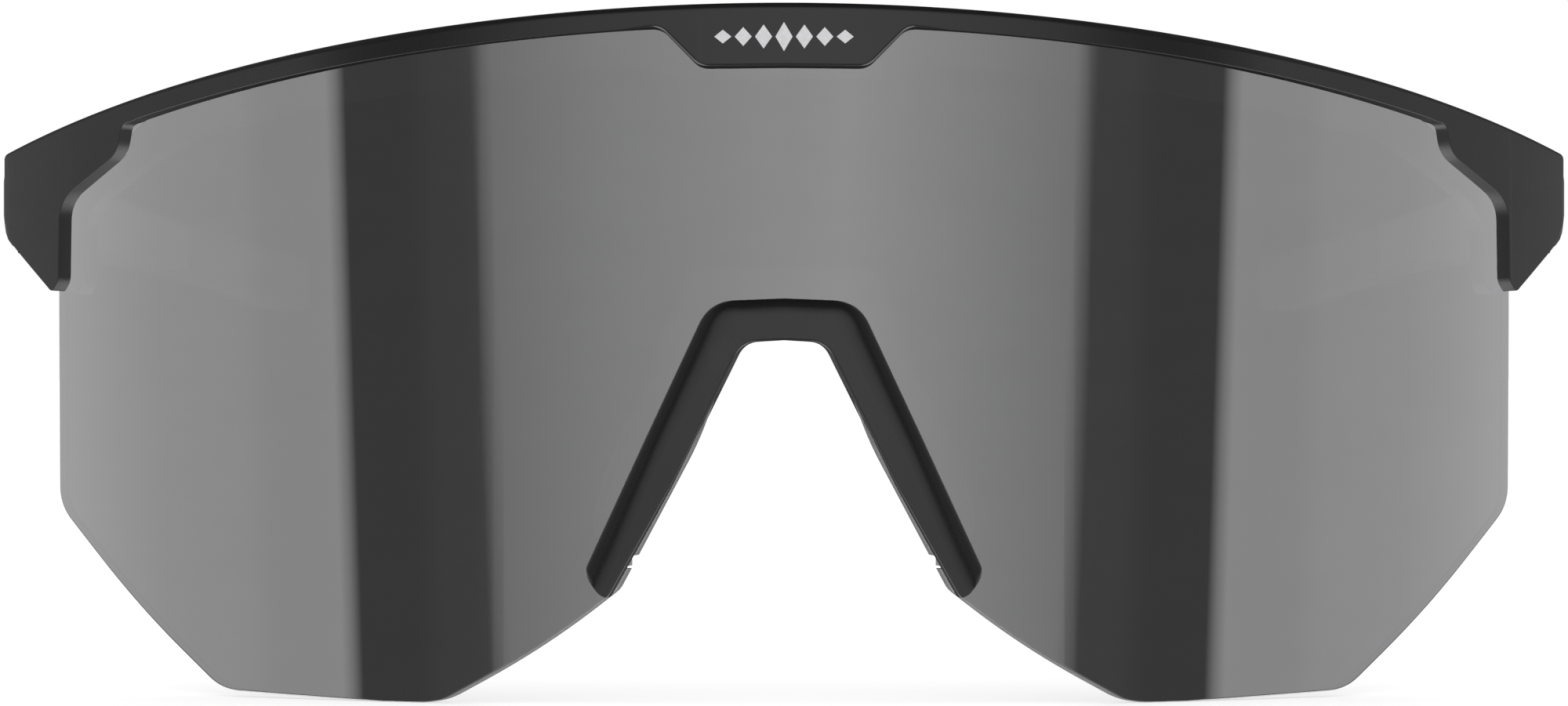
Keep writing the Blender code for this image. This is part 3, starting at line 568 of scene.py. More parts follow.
# ---- nose clip and pads ----
CLIP_OVERLAP = 0.2  # of front strip and rear carrier, each past mid lens
CARRIER_ROUND = 0.2
BAND_POINTS = (12, 14)  # on each rounding of a band's outline, and between them
FRONT_STEPS = 8
BACK_STEPS = 5
PAD_START = (6.0, 4.6, 31.4)  # top of the pad: out, depth, height
POST_PLACE = PAD_LENGTH * 0.45  # down the pad
SEAT_RANGE = (-1.3, 1.0)  # the post's hole in the clip
POCKET_RANGE = (-1.0, PAD_DEPTH * 0.62 + GAP)  # and its hole in the pad
PAD_RINGS = 44
PAD_TURNS = 40
PAD_TIP = 1.1  # the pad's ends are rounded over this length
PAD_TIP_SHARE = 0.06  # down to this share
PAD_END_DEPTH = 0.35  # shares of depth and thickness kept near the ends
PAD_END_THICKNESS = 0.45
PAD_FRONT_GAP = 0.25
PAD_FRONT_CURVE = 0.6
PAD_SQUARENESS = 0.8  # below 1 is fuller than an ellipse


def band(outer_corners, inner_corners, front, back, crown, edge_round):
    """A band on the cylinder between two outlines. crown is the (reach, drop) of its outer front edge."""
    outer, inner = rounded(outer_corners, *BAND_POINTS), rounded(inner_corners, *BAND_POINTS)
    lows, highs = [], []
    for low, high in zip(inner, outer):
        across = Vector(high) - Vector(low)
        share = min(1.0, across.length / FULL_BAND)
        across.normalize()
        reach, support = edge_round * share, SUPPORT * share
        rims = ((highs, high, -across, crown[0] * share, crown[1]), (lows, low, across, reach, edge_round))
        for made, point, inwards, front_reach, drop in rims:
            rim = edge(point, inwards, front_reach, front - drop, front, FRONT_STEPS, support)
            rim += reversed(edge(point, inwards, reach, back + edge_round, back, BACK_STEPS, support))
            made.append(rim)
    return wrapped_shell(lows, highs)


def leg_frame(side):
    """Unit vectors of a nose pad: down along the leg, back along the pad, and out through its face."""
    lean, splay = radians(LEG_LEAN), radians(PAD_SPLAY)
    down = Vector((side * sin(lean), 0.0, -cos(lean)))
    back = Vector((side * cos(lean) * sin(splay), cos(splay), sin(lean) * sin(splay)))
    return down, back, down.cross(back).normalized()


def pad_point(side, down_by, back_by=0.0, out_by=0.0):
    down, back, out = leg_frame(side)
    x, depth, z = PAD_START
    start = Vector((side * x, APEX_Y + depth, z))
    return start + down * down_by + back * back_by + out * out_by


def post_room(side, back_range):
    """The room for the pad's post."""
    start, end = (pad_point(side, POST_PLACE, back_by) for back_by in back_range)
    return rod(start, end, POST_RADIUS + GAP / 2)


def nose_clip_mesh():
    front, crown = LENS_RADIUS + NOSE_PROUD, (CROWN_REACH, CROWN_DROP)
    strip = band(STRIP_OUTER_CORNERS, STRIP_INNER_CORNERS, front, MID_LENS - CLIP_OVERLAP, crown, STRIP_ROUND)
    front, crown = MID_LENS + CLIP_OVERLAP, (CARRIER_ROUND, CARRIER_ROUND)
    carrier = band(CARRIER_OUTER_CORNERS, CARRIER_INNER_CORNERS, front, CARRIER_BACK, crown, CARRIER_ROUND)
    steps = [(JOIN, carrier), (CUT, lens_shell(GAP, CUTTER_SPACING))]
    for side, _ in SIDES:
        steps += [(JOIN, hook_box(side, 0.0)), (CUT, post_room(side, SEAT_RANGE))]
    return carved(strip, *steps, crossed=True)


def pad_mesh(side):
    """A soft leaf: rounded all round, thickest in the middle, with a flat narrow front edge."""
    rings = []
    for i in range(PAD_RINGS + 1):
        share = 0.5 - 0.5 * cos(pi * i / PAD_RINGS)
        bulge = sqrt(max(1 - (2 * share - 1) ** 2, 0.0))
        tip = min(share, 1 - share) * PAD_LENGTH
        dome = sqrt(max(1 - (1 - min(tip / PAD_TIP, 1.0)) ** 2, 0.0)) if tip < PAD_TIP else 1.0
        dome = max(dome, PAD_TIP_SHARE)
        full_depth = PAD_DEPTH * (PAD_END_DEPTH + (1 - PAD_END_DEPTH) * bulge)
        depth = full_depth * dome
        half = PAD_THICKNESS / 2 * (PAD_END_THICKNESS + (1 - PAD_END_THICKNESS) * bulge) * dome
        middle = PAD_FRONT_CURVE * (1 - bulge) + PAD_FRONT_GAP + full_depth / 2
        ring = []
        for turn in range(PAD_TURNS):
            a = 2 * pi * turn / PAD_TURNS
            across = abs(sin(a)) ** PAD_SQUARENESS * (1 if sin(a) >= 0 else -1)
            ring.append(pad_point(side, PAD_LENGTH * share, middle + depth / 2 * cos(a), half * across))
        rings.append(ring)
    return carved(loft(rings), (CUT, post_room(side, POCKET_RANGE)))


# ---- temples ----
# the temple's line: (depth behind the front of the lens, inner face, lower edge, upper edge)
TEMPLE_LINE = [
    (47.4, 66.7, 39.7, 47.5), (60.0, 66.2, 39.6, 46.7), (80.0, 65.0, 39.2, 45.6), (100.0, 62.9, 38.6, 44.3),
    (125.0, 59.9, 37.3, 42.9), (145.0, 57.2, 36.1, 41.9), (163.0, 54.9, 35.0, 41.0),
]
TEMPLE_THICKNESS = [(47.4, 5.7), (60.0, 4.0), (80.0, 3.4), (104.0, 3.1), (163.0, 3.0)]
BUTT_DEPTH = 41.3
CHEEK_END = 47.3
CHEEK_MIDDLE = 44.0
CHEEK_INNER_EDGE = 0.3
CHEEK_INSET = 0.02  # from the hinge block's outer face
CHEEK_FRONT = ((0.0, 0.25), (0.07, 0.08), (0.25, 0.0))  # (depth, inset) of its front edge
CHEEK_EDGE = 2.8
CHEEK_STEP_ROUND = 0.5
EDGE_BLEND_END = 60.0
TEMPLE_START = 49.0
TEMPLE_INNER_EDGE = 0.6
TEMPLE_OUTER_EDGE = 1.1
TONGUE_STEM = (-1.4, 3.2)  # its limits from the hinge axis
GRIP_START = 106.0
TANG_END = 128.0
CORE_START = 112.0
CORE_END = 150.0
TEMPLE_END = 163.0
GRIP_SWELL = 0.7
GRIP_REST_HEIGHT = 35.2
ARM_CROWN = 0.18  # the temple's outer face bulges this much
CROWN_START = 48.0
CROWN_BLEND = 6.0
SHOULDER_ROUND = 0.2  # where the temple meets the grip
SHOULDER_LENGTH = 0.25
TANG_SIDE = 0.5  # the tang's step in from the temple's sides
TANG_EDGE = 1.3  # and from its edges
TANG_CORNER = 0.3
GRIP_TIP = 2.4
GRIP_TIP_INSET = 1.5
GRIP_SWELL_RATE = 12
PADDLE_START = 0.45  # of the grip's length, where it grows taller
PADDLE_GAIN = 0.7
GRIP_EDGE = 1.35
GRIP_EDGE_SHARE = 0.46  # of the thickness, where that is less
GRIP_INNER_EDGE = 0.85  # as a share of the outer edges


def temple_box(depth):
    """(inner, outer, lower, upper) of the temple's own line at that depth."""
    inner, low, high = limits_at(TEMPLE_LINE, depth)
    return inner, inner + smooth(TEMPLE_THICKNESS, depth), low, high


def inset_box(depth, by_side, by_edge):
    """temple_box drawn in on the two sides and at the two edges."""
    inner, outer, low, high = temple_box(depth)
    return inner + by_side, outer - by_side, low + by_edge, high - by_edge


def temple_ring(side, depth, limits, inside, outside, crown=0.0):
    """An upright section with rounded corners and a crowned outer face."""
    inner, outer, low, high = limits
    corners = [(inner, low, inside), (outer, low, outside), (outer, high, outside), (inner, high, inside)]
    middle, half = (low + high) / 2, (high - low) / 2
    ring = []
    for x, z in soften(corners, 6):
        share = (x - inner) / (outer - inner)
        bulge = crown * share * (1 - ((z - middle) / half) ** 2)
        ring.append((side * (x + bulge), APEX_Y + depth, z))
    return ring


def temple_rings(side):
    cheek_inner = HINGE_X + LUG_RADIUS + GAP
    line_start, _, low, high = TEMPLE_LINE[0]
    front = BUTT_DEPTH + GAP
    rings = []
    trims = [(front + depth, trim) for depth, trim in CHEEK_FRONT] + [(CHEEK_MIDDLE, 0.0), (CHEEK_END, 0.0)]
    for depth, trim in trims:
        limits = (cheek_inner, BLOCK_OUTER - CHEEK_INSET - trim, low + trim, high - trim)
        rings.append(temple_ring(side, depth, limits, CHEEK_INNER_EDGE, CHEEK_EDGE))
    for k in range(6):
        turn = pi / 2 * k / 5
        inner, outer, low, high = temple_box(line_start)
        held = (CHEEK_STEP_ROUND * (1 - sin(turn)), CHEEK_STEP_ROUND * (1 - cos(turn)))
        depth = CHEEK_END + SUPPORT + held[1]
        rings.append(temple_ring(side, depth, (inner + held[0], outer, low, high), 0.5, CHEEK_EDGE))
    for depth in spaced(TEMPLE_START, GRIP_START - SHOULDER_LENGTH, 36):
        soft = interpolate([(CHEEK_END, CHEEK_EDGE), (EDGE_BLEND_END, TEMPLE_OUTER_EDGE)], depth)
        crown = ARM_CROWN * min(1, (depth - CROWN_START) / CROWN_BLEND)
        rings.append(temple_ring(side, depth, temple_box(depth), TEMPLE_INNER_EDGE, soft, crown))
    limits = inset_box(GRIP_START, SHOULDER_ROUND, SHOULDER_ROUND)
    rings.append(temple_ring(side, GRIP_START, limits, 0.5, 1.0))
    for depth in spaced(GRIP_START + 0.1, TANG_END, 8):
        limits = inset_box(depth, TANG_SIDE, TANG_EDGE)
        rings.append(temple_ring(side, depth, limits, TANG_CORNER, TANG_CORNER))
    return rings


def tang_space(side):
    """The room that the grip leaves for the temple's tang."""
    rings = []
    for depth in spaced(GRIP_START - PAST, TANG_END + GAP, 8):
        limits = inset_box(depth, TANG_SIDE - GAP, TANG_EDGE - GAP)
        rings.append(temple_ring(side, depth, limits, TANG_CORNER, TANG_CORNER))
    return loft(rings)


def core_channel(side, start, end):
    """The room for the temple's steel core between two depths."""
    rings = []
    for depth in spaced(start, end, 6):
        inner, outer, low, high = temple_box(depth)
        turns = [2 * pi * i / 16 for i in range(16)]
        radius = CORE_RADIUS + GAP / 2
        x, z = side * (inner + outer) / 2, (low + high) / 2
        rings.append([(x + radius * cos(t), APEX_Y + depth, z + radius * sin(t)) for t in turns])
    return loft(rings)


def temple_mesh(side):
    x = side * HINGE_X
    low, high = HINGE_HEIGHT - TONGUE_HEIGHT / 2, HINGE_HEIGHT + TONGUE_HEIGHT / 2
    stem_x = sorted(side * (HINGE_X + reach) for reach in TONGUE_STEM)
    return carved(
        loft(temple_rings(side)),
        (JOIN, box(stem_x, (HINGE_Y, APEX_Y + TEMPLE_START), (low, high))),
        (JOIN, cylinder(LUG_RADIUS - 0.1, low, high, x, HINGE_Y)),
        (CUT, cylinder(HOLE_RADIUS, low - PAST, high + PAST, x, HINGE_Y)),
        (CUT, core_channel(side, CORE_START - GAP, TANG_END + PAST)),
    )


def grip_mesh(side):
    """The rubber sleeve: it swells just behind its front lip and ends in a round tip."""
    rings = []
    depths = spaced(GRIP_START + GAP, GRIP_START + 3, 8) + spaced(GRIP_START + 4, TEMPLE_END - GRIP_TIP, 44)
    depths += [TEMPLE_END - GRIP_TIP * (1 - sin(radians(a))) for a in range(10, 91, 10)]
    for depth in depths:
        share = (depth - GRIP_START) / (TEMPLE_END - GRIP_START)
        swell = GRIP_SWELL * sqrt(min(1.0, share * GRIP_SWELL_RATE))
        paddle = PADDLE_GAIN * max(share - PADDLE_START, 0.0)
        past = max(0.0, 1 - (TEMPLE_END - depth) / GRIP_TIP)
        end = GRIP_TIP_INSET * (1 - sqrt(max(1 - past**2, 0.0)))
        inner, outer, low, high = temple_box(depth)
        inner, outer = inner - swell + end, outer + swell - end
        limits = (inner, outer, max(low - paddle, GRIP_REST_HEIGHT) + end, high + paddle - end)
        reach = min(GRIP_EDGE, GRIP_EDGE_SHARE * (outer - inner))
        rings.append(temple_ring(side, depth, limits, reach * GRIP_INNER_EDGE, reach))
    return carved(
        loft(rings),
        (CUT, tang_space(side)),
        (CUT, core_channel(side, TANG_END - PAST, CORE_END + GAP)),
    )


# ---- hinge pieces ----
SCREW_TIP_SUNK = 0.2  # inside the lugs' faces
SCREW_HEAD_SUNK = 0.05
SCREW_TIP_CHAMFER = 0.15
SLOT_HALF_WIDTH = 0.2
SLOT_HALF_LENGTH = 2.0
SLOT_DEPTH = 0.3
INSERT_SUNK = 0.1
INSERT_CHAMFER = 0.08
WASHER_INSET = 0.3
WASHER_CHAMFER = 0.05


def screw_mesh(x):
    """The hinge screw: a round head with soft edges and one slot, and a plain shank."""
    low, top = HINGE_LOW + SCREW_TIP_SUNK, HINGE_HIGH - SCREW_HEAD_SUNK
    head = HINGE_HIGH - SCREW_HEAD_HEIGHT
    profile = [
        (0, low), (SCREW_RADIUS - SCREW_TIP_CHAMFER, low), (SCREW_RADIUS, low + SCREW_TIP_CHAMFER),
        (SCREW_RADIUS, head),
        (SCREW_HEAD_RADIUS - 0.05, head), (SCREW_HEAD_RADIUS, head + 0.05), (SCREW_HEAD_RADIUS, top - 0.2),
        (SCREW_HEAD_RADIUS - 0.08, top - 0.07), (SCREW_HEAD_RADIUS - 0.22, top), (0, top),
    ]
    x_range = (x - SLOT_HALF_LENGTH, x + SLOT_HALF_LENGTH)
    y_range = (HINGE_Y - SLOT_HALF_WIDTH, HINGE_Y + SLOT_HALF_WIDTH)
    slot = box(x_range, y_range, (top - SLOT_DEPTH, top + PAST))
    return carved(turned(profile, x, HINGE_Y), (CUT, slot))


def ring_mesh(x, inner, outer, low, high, chamfer):
    """A chamfered ring round the hinge axis."""
    profile = [
        (inner, low + chamfer), (inner + chamfer, low), (outer - chamfer, low), (outer, low + chamfer),
        (outer, high - chamfer), (outer - chamfer, high), (inner + chamfer, high), (inner, high - chamfer),
    ]
    return turned(profile, x, HINGE_Y)


# ---- generic mark ----
MARK_HALF_WIDTH = 6.0
MARK_MIDDLE = 57.5
MARK_COUNT = 7
MARK_LIFT = 0.005
MARK_THICKNESS = 0.03
MARK_HALF_HEIGHT = 1.25  # of the middle lozenge, less for each one outwards
MARK_SHRINK = 0.22
MARK_SHARE = 0.42  # half width, as a share of the pitch


def mark_mesh():
    """A plain printed ornament: a row of lozenges, tallest in the middle."""
    bm = bmesh.new()
    pitch = 2 * MARK_HALF_WIDTH / MARK_COUNT
    for i in range(MARK_COUNT):
        place = i - (MARK_COUNT - 1) / 2
        tall, wide = MARK_HALF_HEIGHT - MARK_SHRINK * abs(place), pitch * MARK_SHARE
        corners = ((wide, 0.0), (0.0, tall), (-wide, 0.0), (0.0, -tall))
        rings = []
        for radius in (FRAME_FRONT + MARK_LIFT, FRAME_FRONT + MARK_THICKNESS):
            points = [wrap(angle_at(pitch * place + dx), radius, MARK_MIDDLE + dz) for dx, dz in corners]
            rings.append([bm.verts.new(point) for point in points])
        for k in range(4):
            m = (k + 1) % 4
            bm.faces.new((rings[0][k], rings[0][m], rings[1][m], rings[1][k]))
        bm.faces.new(rings[0])
        bm.faces.new(rings[1])
    bmesh.ops.recalc_face_normals(bm, faces=bm.faces)
    return bm


# ---- finishes ----
class Finish:
    """A procedural finish: a Principled shader with noise at real sizes for its colour, gloss and relief."""

    def __init__(self, name, colour, roughness, metallic=0.0):
        self.material = bpy.data.materials.new(name)
        self.material.use_nodes = True
        self.tree = self.material.node_tree
        self.shader = self.tree.nodes["Principled BSDF"]
        self.shader.inputs["Base Color"].default_value = (*colour, 1.0)
        self.shader.inputs["Roughness"].default_value = roughness
        self.shader.inputs["Metallic"].default_value = metallic
        self.place = self.node("ShaderNodeTexCoord").outputs["Object"]

    def node(self, kind, **settings):
        made = self.tree.nodes.new(kind)
        for key, value in settings.items():
            setattr(made, key, value)
        return made

    def link(self, source, target):
        self.tree.links.new(source, target)

    def noise(self, size, detail=3.0, stretch=(1, 1, 1)):
        """Noise whose features are about size metres across."""
        mapping = self.node("ShaderNodeMapping")
        mapping.inputs["Scale"].default_value = stretch
        self.link(self.place, mapping.inputs["Vector"])
        texture = self.node("ShaderNodeTexNoise")
        texture.inputs["Scale"].default_value = 1 / size
        texture.inputs["Detail"].default_value = detail
        self.link(mapping.outputs["Vector"], texture.inputs["Vector"])
        return texture.outputs["Fac"]

    def spread(self, source, low, high, start=0.3, end=0.7):
        """source, from start to end, as a value from low to high."""
        made = self.node("ShaderNodeMapRange")
        for name, value in (("From Min", start), ("From Max", end), ("To Min", low), ("To Max", high)):
            made.inputs[name].default_value = value
        self.link(source, made.inputs["Value"])
        return made.outputs["Result"]

    def add(self, one, other):
        made = self.node("ShaderNodeMath", operation="ADD")
        self.link(one, made.inputs[0])
        self.link(other, made.inputs[1])
        return made.outputs["Value"]

    def worn_edges(self):
        """1 on outside edges, 0 on flats."""
        return self.spread(self.node("ShaderNodeNewGeometry").outputs["Pointiness"], 0.0, 1.0, 0.51, 0.58)

    def tone(self, factor, light, dark):
        mix = self.node("ShaderNodeMix", data_type="RGBA")
        mix.inputs["A"].default_value = (*dark, 1.0)
        mix.inputs["B"].default_value = (*light, 1.0)
        self.link(factor, mix.inputs["Factor"])
        self.link(mix.outputs["Result"], self.shader.inputs["Base Color"])

    def gloss(self, factor):
        self.link(factor, self.shader.inputs["Roughness"])

    def relief(self, height, depth, strength):
        bump = self.node("ShaderNodeBump")
        bump.inputs["Strength"].default_value = strength
        bump.inputs["Distance"].default_value = depth
        self.link(height, bump.inputs["Height"])
        self.link(bump.outputs["Normal"], self.shader.inputs["Normal"])


def grey(level):
    return (level, level, level * 1.02)


def moulded_nylon():
    """Satin black nylon with the fine grain of its mould, coarser towards the sides of the glasses, and
    edges rubbed a little smoother."""
    made = Finish("satin_nylon", grey(0.009), 0.25)
    grain = made.noise(0.00016, 2)
    cloud = made.noise(0.012, 3)
    handled = made.add(made.spread(cloud, 0.0, 0.5), made.worn_edges())
    made.tone(handled, grey(0.0105), grey(0.008))
    place = made.node("ShaderNodeSeparateXYZ")
    made.link(made.place, place.inputs["Vector"])
    across = made.node("ShaderNodeMath", operation="ABSOLUTE")
    made.link(place.outputs["X"], across.inputs[0])
    coarser = made.spread(across.outputs["Value"], 0.0, 0.25, 0.042, 0.062)
    fine = made.add(made.spread(grain, 0.2, 0.27), made.spread(handled, 0.02, -0.04, 0, 1))
    made.gloss(made.add(fine, coarser))
    made.relief(grain, 0.000003, 0.5)
    return made.material


def make_clear(finish):
    """Lets light through, as polycarbonate does."""
    finish.shader.inputs["IOR"].default_value = 1.55
    finish.shader.inputs["Transmission Weight"].default_value = 1.0


def clouded(name, roughness, size, colours, gloss_range, detail=3):
    """A finish with one noise for its gloss and for its colour, between the last two of three."""
    colour, light, dark = colours
    made = Finish(name, colour, roughness)
    cloud = made.noise(size, detail)
    made.gloss(made.spread(cloud, *gloss_range))
    made.tone(made.spread(cloud, 0, 1), light, dark)
    return made


def lens_mirror():
    """The lens's front: a neutral half-mirror coating on smoke polycarbonate, with faint wipe marks."""
    made = Finish("lens_mirror_coating", grey(0.42), 0.02, 0.5)
    make_clear(made)
    smear = made.noise(0.009, 4, (1, 1, 3))
    dust = made.noise(0.0005, 2)
    made.gloss(made.add(made.spread(smear, 0.012, 0.03), made.spread(dust, 0.0, 0.02, 0.72, 0.85)))
    made.tone(made.spread(smear, 0, 1), grey(0.424), grey(0.414))
    return made.material


def lens_body():
    """The lens's uncoated back."""
    made = clouded("lens_smoke", 0.05, 0.008, (grey(0.3), grey(0.31), grey(0.28)), (0.03, 0.07), 4)
    make_clear(made)
    return made.material


def lens_edge():
    """The lens's cut edge, fine-ground and a little frosted."""
    greys = (grey(0.17), grey(0.19), grey(0.15))
    return clouded("lens_cut_edge", 0.55, 0.0004, greys, (0.45, 0.65)).material


def soft_rubber(name, level, grain_size):
    """Matte moulded rubber: fine grain, slightly greyed on its edges."""
    made = Finish(name, grey(level), 0.75)
    made.shader.inputs["Specular IOR Level"].default_value = 0.35
    grain = made.noise(grain_size, 4)
    handled = made.add(made.spread(made.noise(0.01, 3), 0.0, 0.6), made.worn_edges())
    made.tone(handled, grey(level * 1.5), grey(level * 0.85))
    made.gloss(made.add(made.spread(grain, 0.62, 0.78), made.spread(handled, 0.0, 0.06, 0, 1)))
    made.relief(grain, 0.00002, 0.6)
    return made.material


def metal(name, colour, roughness, streak):
    """Turned metal, its tool marks drawn out along streak."""
    made = Finish(name, colour, roughness, 1.0)
    marks = made.noise(0.0006, 3, streak)
    made.gloss(made.spread(marks, roughness - 0.08, roughness + 0.12))
    shade = tuple(part * 0.86 for part in colour)
    made.tone(made.spread(made.noise(0.002, 2), 0, 1), colour, shade)
    made.relief(marks, 0.000004, 0.4)
    return made.material


def natural_nylon():
    colours = ((0.66, 0.65, 0.6), (0.7, 0.69, 0.64), (0.6, 0.58, 0.52))
    return clouded("washer_nylon", 0.5, 0.0012, colours, (0.42, 0.58)).material


def mark_ink():
    """Light grey pad-printed ink, a little thin in places."""
    greys = (grey(0.6), grey(0.64), grey(0.55))
    return clouded("mark_ink", 0.55, 0.00025, greys, (0.48, 0.62)).material


# ---- the pieces ----
FACE_DEPTH = 0.06  # the lens's two face finishes reach this far onto its edge


def add_front(nylon, rubber, steel, lens_finishes):
    add_piece("brow_frame", front_frame_mesh(), nylon, "front", ["front_frame"])
    mirror, smoke, cut_edge = lens_finishes
    shield = add_piece("shield_lens", lens_mesh(), mirror, "front", ["lens"])
    shield.data.materials.append(smoke)
    shield.data.materials.append(cut_edge)
    axis_y = (APEX_Y + LENS_RADIUS) * MM
    for face in shield.data.polygons:
        centre = face.center
        from_axis = sqrt(centre.x**2 + (centre.y - axis_y) ** 2)
        if from_axis > (LENS_RADIUS - FACE_DEPTH) * MM:
            face.material_index = 0
        else:
            face.material_index = 2 if from_axis > (LENS_BACK + FACE_DEPTH) * MM else 1
    add_piece("nose_bridge", nose_clip_mesh(), nylon, "front", ["nose_clip"])
    add_piece("brow_mark", mark_mesh(), mark_ink(), "front")
    for side, word in SIDES:
        add_piece("nose_leaf_" + word, pad_mesh(side), rubber, "front", ["nose_pad_" + word])
        keep_node("nose_post_" + word, steel)


def keep_node(name, finish):
    """A CAD node that shows as it is, with a better finish."""
    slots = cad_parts[name].data.materials
    slots.clear()
    slots.append(finish)


def add_hinge(side, word, steel, brass, nylon):
    x = side * HINGE_X
    add_piece("fold_screw_" + word, screw_mesh(x), steel, "front", ["hinge_screw_" + word])
    low, high = HINGE_LOW + INSERT_SUNK, HINGE_LOW + LUG_THICKNESS - 2 * GAP
    bush = ring_mesh(x, HOLE_RADIUS, INSERT_RADIUS, low, high, INSERT_CHAMFER)
    add_piece("fold_insert_" + word, bush, brass, "front", ["hinge_insert_" + word])
    offset = (TONGUE_HEIGHT / 2 + HINGE_REACH / 2 - LUG_THICKNESS) / 2
    for place, sign in (("upper", 1), ("lower", -1)):
        middle = HINGE_HEIGHT + sign * offset
        low, high = middle - WASHER_THICKNESS / 2, middle + WASHER_THICKNESS / 2
        washer = ring_mesh(x, HOLE_RADIUS, LUG_RADIUS - WASHER_INSET, low, high, WASHER_CHAMFER)
        node = f"hinge_washer_{place}_{word}"
        add_piece(f"fold_washer_{place}_{word}", washer, nylon, "front", [node])


def add_temple(side, word, nylon, rubber, steel):
    body = "temple_" + word
    add_piece("arm_" + word, temple_mesh(side), nylon, body, ["temple_" + word])
    add_piece("arm_grip_" + word, grip_mesh(side), rubber, body, ["temple_grip_" + word])
    keep_node("temple_core_" + word, steel)


# ---- studio ----
CAMERA_LENS = 133.7
CAMERA_DISTANCE = 0.5  # metres in front of the lens
CAMERA_HEIGHT = 0.0304
TABLE_HALF_WIDTH = 6.0
TABLE_GREY = 0.55
TABLE_GLOW = 0.6

# brightness of the surroundings that gloss reflects, by degrees from the front, left and right of the camera
CENTRE_PANEL = [(-35.6, 0.6), (-21.0, 0.8), (6.7, 1.07), (19.4, 0.88), (35.15, 0.65)]
SIDE_PANEL = [
    (56.45, 1.0), (62.0, 0.97), (84.0, 1.04), (103.0, 1.26), (122.0, 1.26), (145.0, 0.8), (165.0, 0.8),
    (171.0, 0.1), (180.0, 0.1),
]
GAP_LEVEL = 0.15  # the unlit gap between the panels
GAP_ENDS = (37.75, 38.05, 55.95)  # inner ends on the right and the left, and the outer ends
PANEL_TILT = 0.45  # how much further out the panels' edges stand for each degree up
TILT_LIMIT = 0.12  # radians up or down, beyond which they run upright
# how that brightness falls off with degrees above the horizon, for the centre panel and for the side ones
CENTRE_HEIGHTS = [(-90, 0.12), (-54, 0.15), (-36, 1.0), (34, 1.0), (52, 0.5), (60, 0.06), (90, 0.05)]
SIDE_HEIGHTS = [
    (-90, 0.6), (-62, 2.6), (-42, 2.6), (-22, 0.2), (-9, 0.22), (-5, 1.0), (5, 1.0), (9, 0.22), (40, 0.2),
    (60, 0.06), (90, 0.05),
]
SIDE_START = 47.0  # degrees from the front where the side ones take over
THROUGH_LEVEL = 0.03  # what is left of the surroundings behind the glasses, seen through the lens


def ramp(tree, stops, span):
    """A colour ramp of greys through (degrees, level) stops, over a span of degrees centred on 0."""
    node = tree.nodes.new("ShaderNodeValToRGB")
    elements = node.color_ramp.elements
    elements.remove(elements[0])
    for i, (angle, level) in enumerate(stops):
        place = angle / span + 0.5
        element = elements[0] if i == 0 else elements.new(place)
        element.position = place
        element.color = (level, level, level, 1.0)
    return node


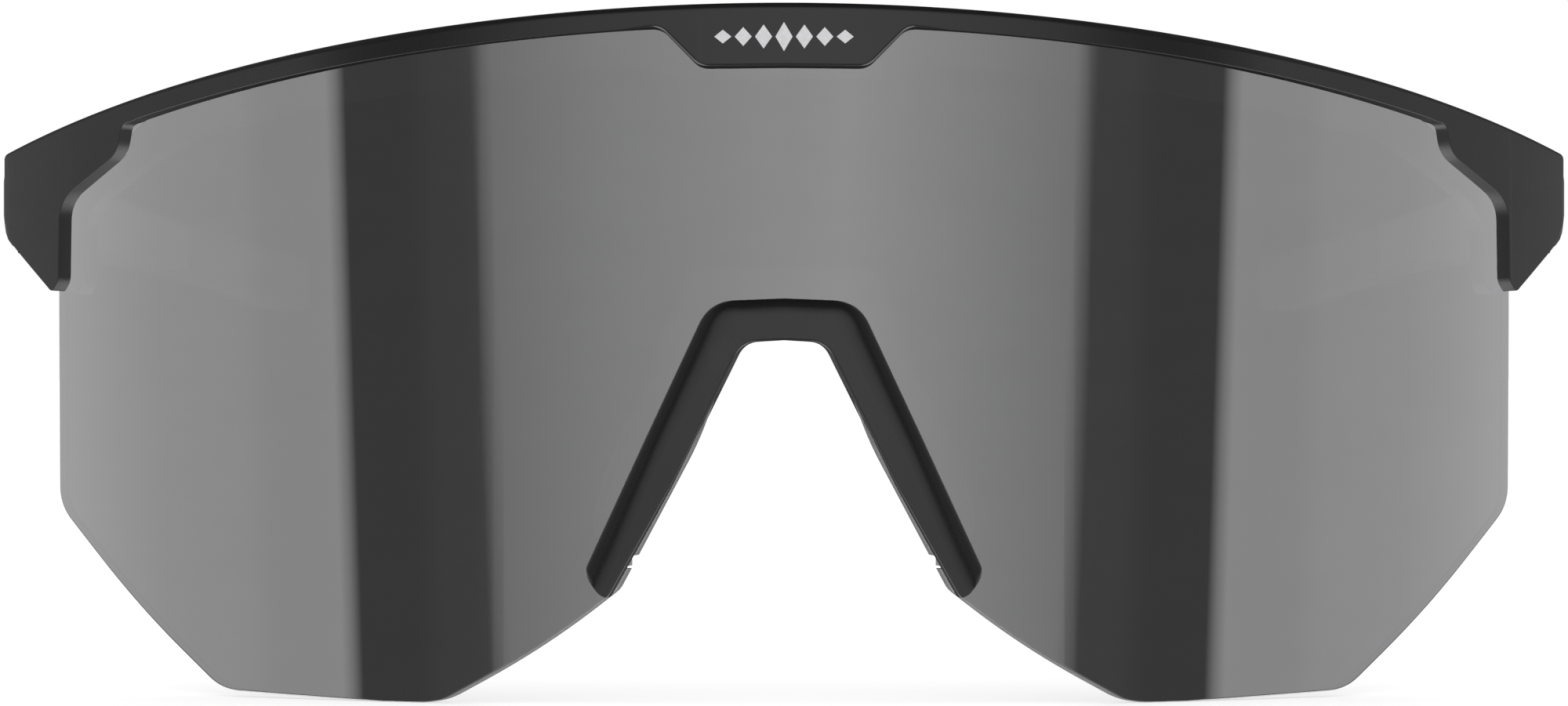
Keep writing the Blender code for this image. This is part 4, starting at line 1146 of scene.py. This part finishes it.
def studio_world():
    """Even white light for matte surfaces and the background, and tall soft panels for gloss to reflect."""
    world = bpy.data.worlds.new("studio")
    bpy.context.scene.world = world
    world.use_nodes = True
    tree = world.node_tree
    link = tree.links.new

    def calc(operation, *values):
        """A Math node; each value is a number or a socket."""
        node = tree.nodes.new("ShaderNodeMath")
        node.operation = operation
        for socket, value in zip(node.inputs, values):
            if isinstance(value, (int, float)):
                socket.default_value = value
            else:
                link(value, socket)
        return node.outputs["Value"]

    direction = tree.nodes.new("ShaderNodeSeparateXYZ")
    link(tree.nodes.new("ShaderNodeTexCoord").outputs["Generated"], direction.inputs["Vector"])
    x, y, z = (direction.outputs[name] for name in "XYZ")
    turn = calc("ARCTAN2", x, calc("MULTIPLY", y, -1.0))
    rise = calc("ARCSINE", z)
    near_rise = calc("MAXIMUM", calc("MINIMUM", rise, TILT_LIMIT), -TILT_LIMIT)
    slant = calc("MULTIPLY", near_rise, PANEL_TILT)
    tilt = calc("MULTIPLY", calc("SIGN", turn), slant)
    across = calc("SUBTRACT", turn, tilt)
    share = calc("MULTIPLY_ADD", across, 1 / (2 * pi), 0.5)
    levels = [(-angle, level) for angle, level in reversed(SIDE_PANEL)]
    levels += [(-GAP_ENDS[2], GAP_LEVEL), (-GAP_ENDS[1], GAP_LEVEL)] + CENTRE_PANEL
    levels += [(GAP_ENDS[0], GAP_LEVEL), (GAP_ENDS[2], GAP_LEVEL)] + SIDE_PANEL
    panels = ramp(tree, levels, 360)
    link(share, panels.inputs["Fac"])
    height = calc("MULTIPLY_ADD", rise, 1 / pi, 0.5)
    heights = []
    for stops in (CENTRE_HEIGHTS, SIDE_HEIGHTS):
        heights.append(ramp(tree, stops, 180))
        link(height, heights[-1].inputs["Fac"])
    centre, side = (node.outputs["Color"] for node in heights)
    beside = calc("GREATER_THAN", calc("ABSOLUTE", turn), radians(SIDE_START))
    centre_part = calc("MULTIPLY", centre, calc("SUBTRACT", 1.0, beside))
    upright = calc("MULTIPLY_ADD", side, beside, centre_part)
    glossy = calc("MULTIPLY", panels.outputs["Color"], upright)
    light_path = tree.nodes.new("ShaderNodeLightPath")
    ahead = calc("GREATER_THAN", y, 0.0)
    through = calc("MULTIPLY", light_path.outputs["Is Transmission Ray"], ahead)
    kept = calc("SUBTRACT", 1.0, calc("MULTIPLY", through, 1.0 - THROUGH_LEVEL))
    seen = calc("MULTIPLY", glossy, kept)
    camera_ray, diffuse_ray = (light_path.outputs[name] for name in ("Is Camera Ray", "Is Diffuse Ray"))
    even = calc("MAXIMUM", camera_ray, diffuse_ray)
    uneven = calc("MULTIPLY", seen, calc("SUBTRACT", 1.0, even))
    level = calc("ADD", even, uneven)
    background = tree.nodes["Background"]
    link(level, background.inputs["Color"])
    background.inputs["Strength"].default_value = 1.0


def studio_floor():
    """A pale glowing table top under the lowest point of the glasses."""
    bm = bmesh.new()
    bmesh.ops.create_grid(bm, x_segments=1, y_segments=1, size=TABLE_HALF_WIDTH)
    floor = loose_object("studio_floor", bm)
    material = bpy.data.materials.new("pale_table")
    material.use_nodes = True
    shader = material.node_tree.nodes["Principled BSDF"]
    values = {
        "Base Color": (TABLE_GREY, TABLE_GREY, TABLE_GREY, 1.0), "Roughness": 0.9, "Specular IOR Level": 0.0,
        "Emission Color": (1.0, 1.0, 1.0, 1.0), "Emission Strength": TABLE_GLOW,
    }
    for name, value in values.items():
        shader.inputs[name].default_value = value
    floor.data.materials.append(material)
    floor.visible_glossy = False
    floor.visible_transmission = False


def studio_camera():
    """Straight at the front, at half the glasses' height, half a metre in front of the lens."""
    data = bpy.data.cameras.new("camera")
    data.lens = CAMERA_LENS
    camera = bpy.data.objects.new("camera", data)
    camera.location = (0.0, APEX_Y * MM - CAMERA_DISTANCE, CAMERA_HEIGHT)
    camera.rotation_euler = (pi / 2, 0.0, 0.0)
    bpy.context.collection.objects.link(camera)
    bpy.context.scene.camera = camera


def build():
    nylon = moulded_nylon()
    grip = soft_rubber("grip_rubber", 0.014, 0.00012)
    leaf = soft_rubber("nose_rubber", 0.016, 0.0001)
    steel = metal("stainless_steel", (0.56, 0.57, 0.58), 0.28, (1, 1, 6))
    brass = metal("brass", (0.66, 0.5, 0.24), 0.34, (1, 1, 6))
    washer = natural_nylon()
    add_front(nylon, leaf, steel, (lens_mirror(), lens_body(), lens_edge()))
    for side, word in SIDES:
        add_hinge(side, word, steel, brass, washer)
        add_temple(side, word, nylon, grip, steel)
    studio_world()
    studio_floor()
    studio_camera()
    bpy.context.scene.view_settings.view_transform = "Standard"


build()
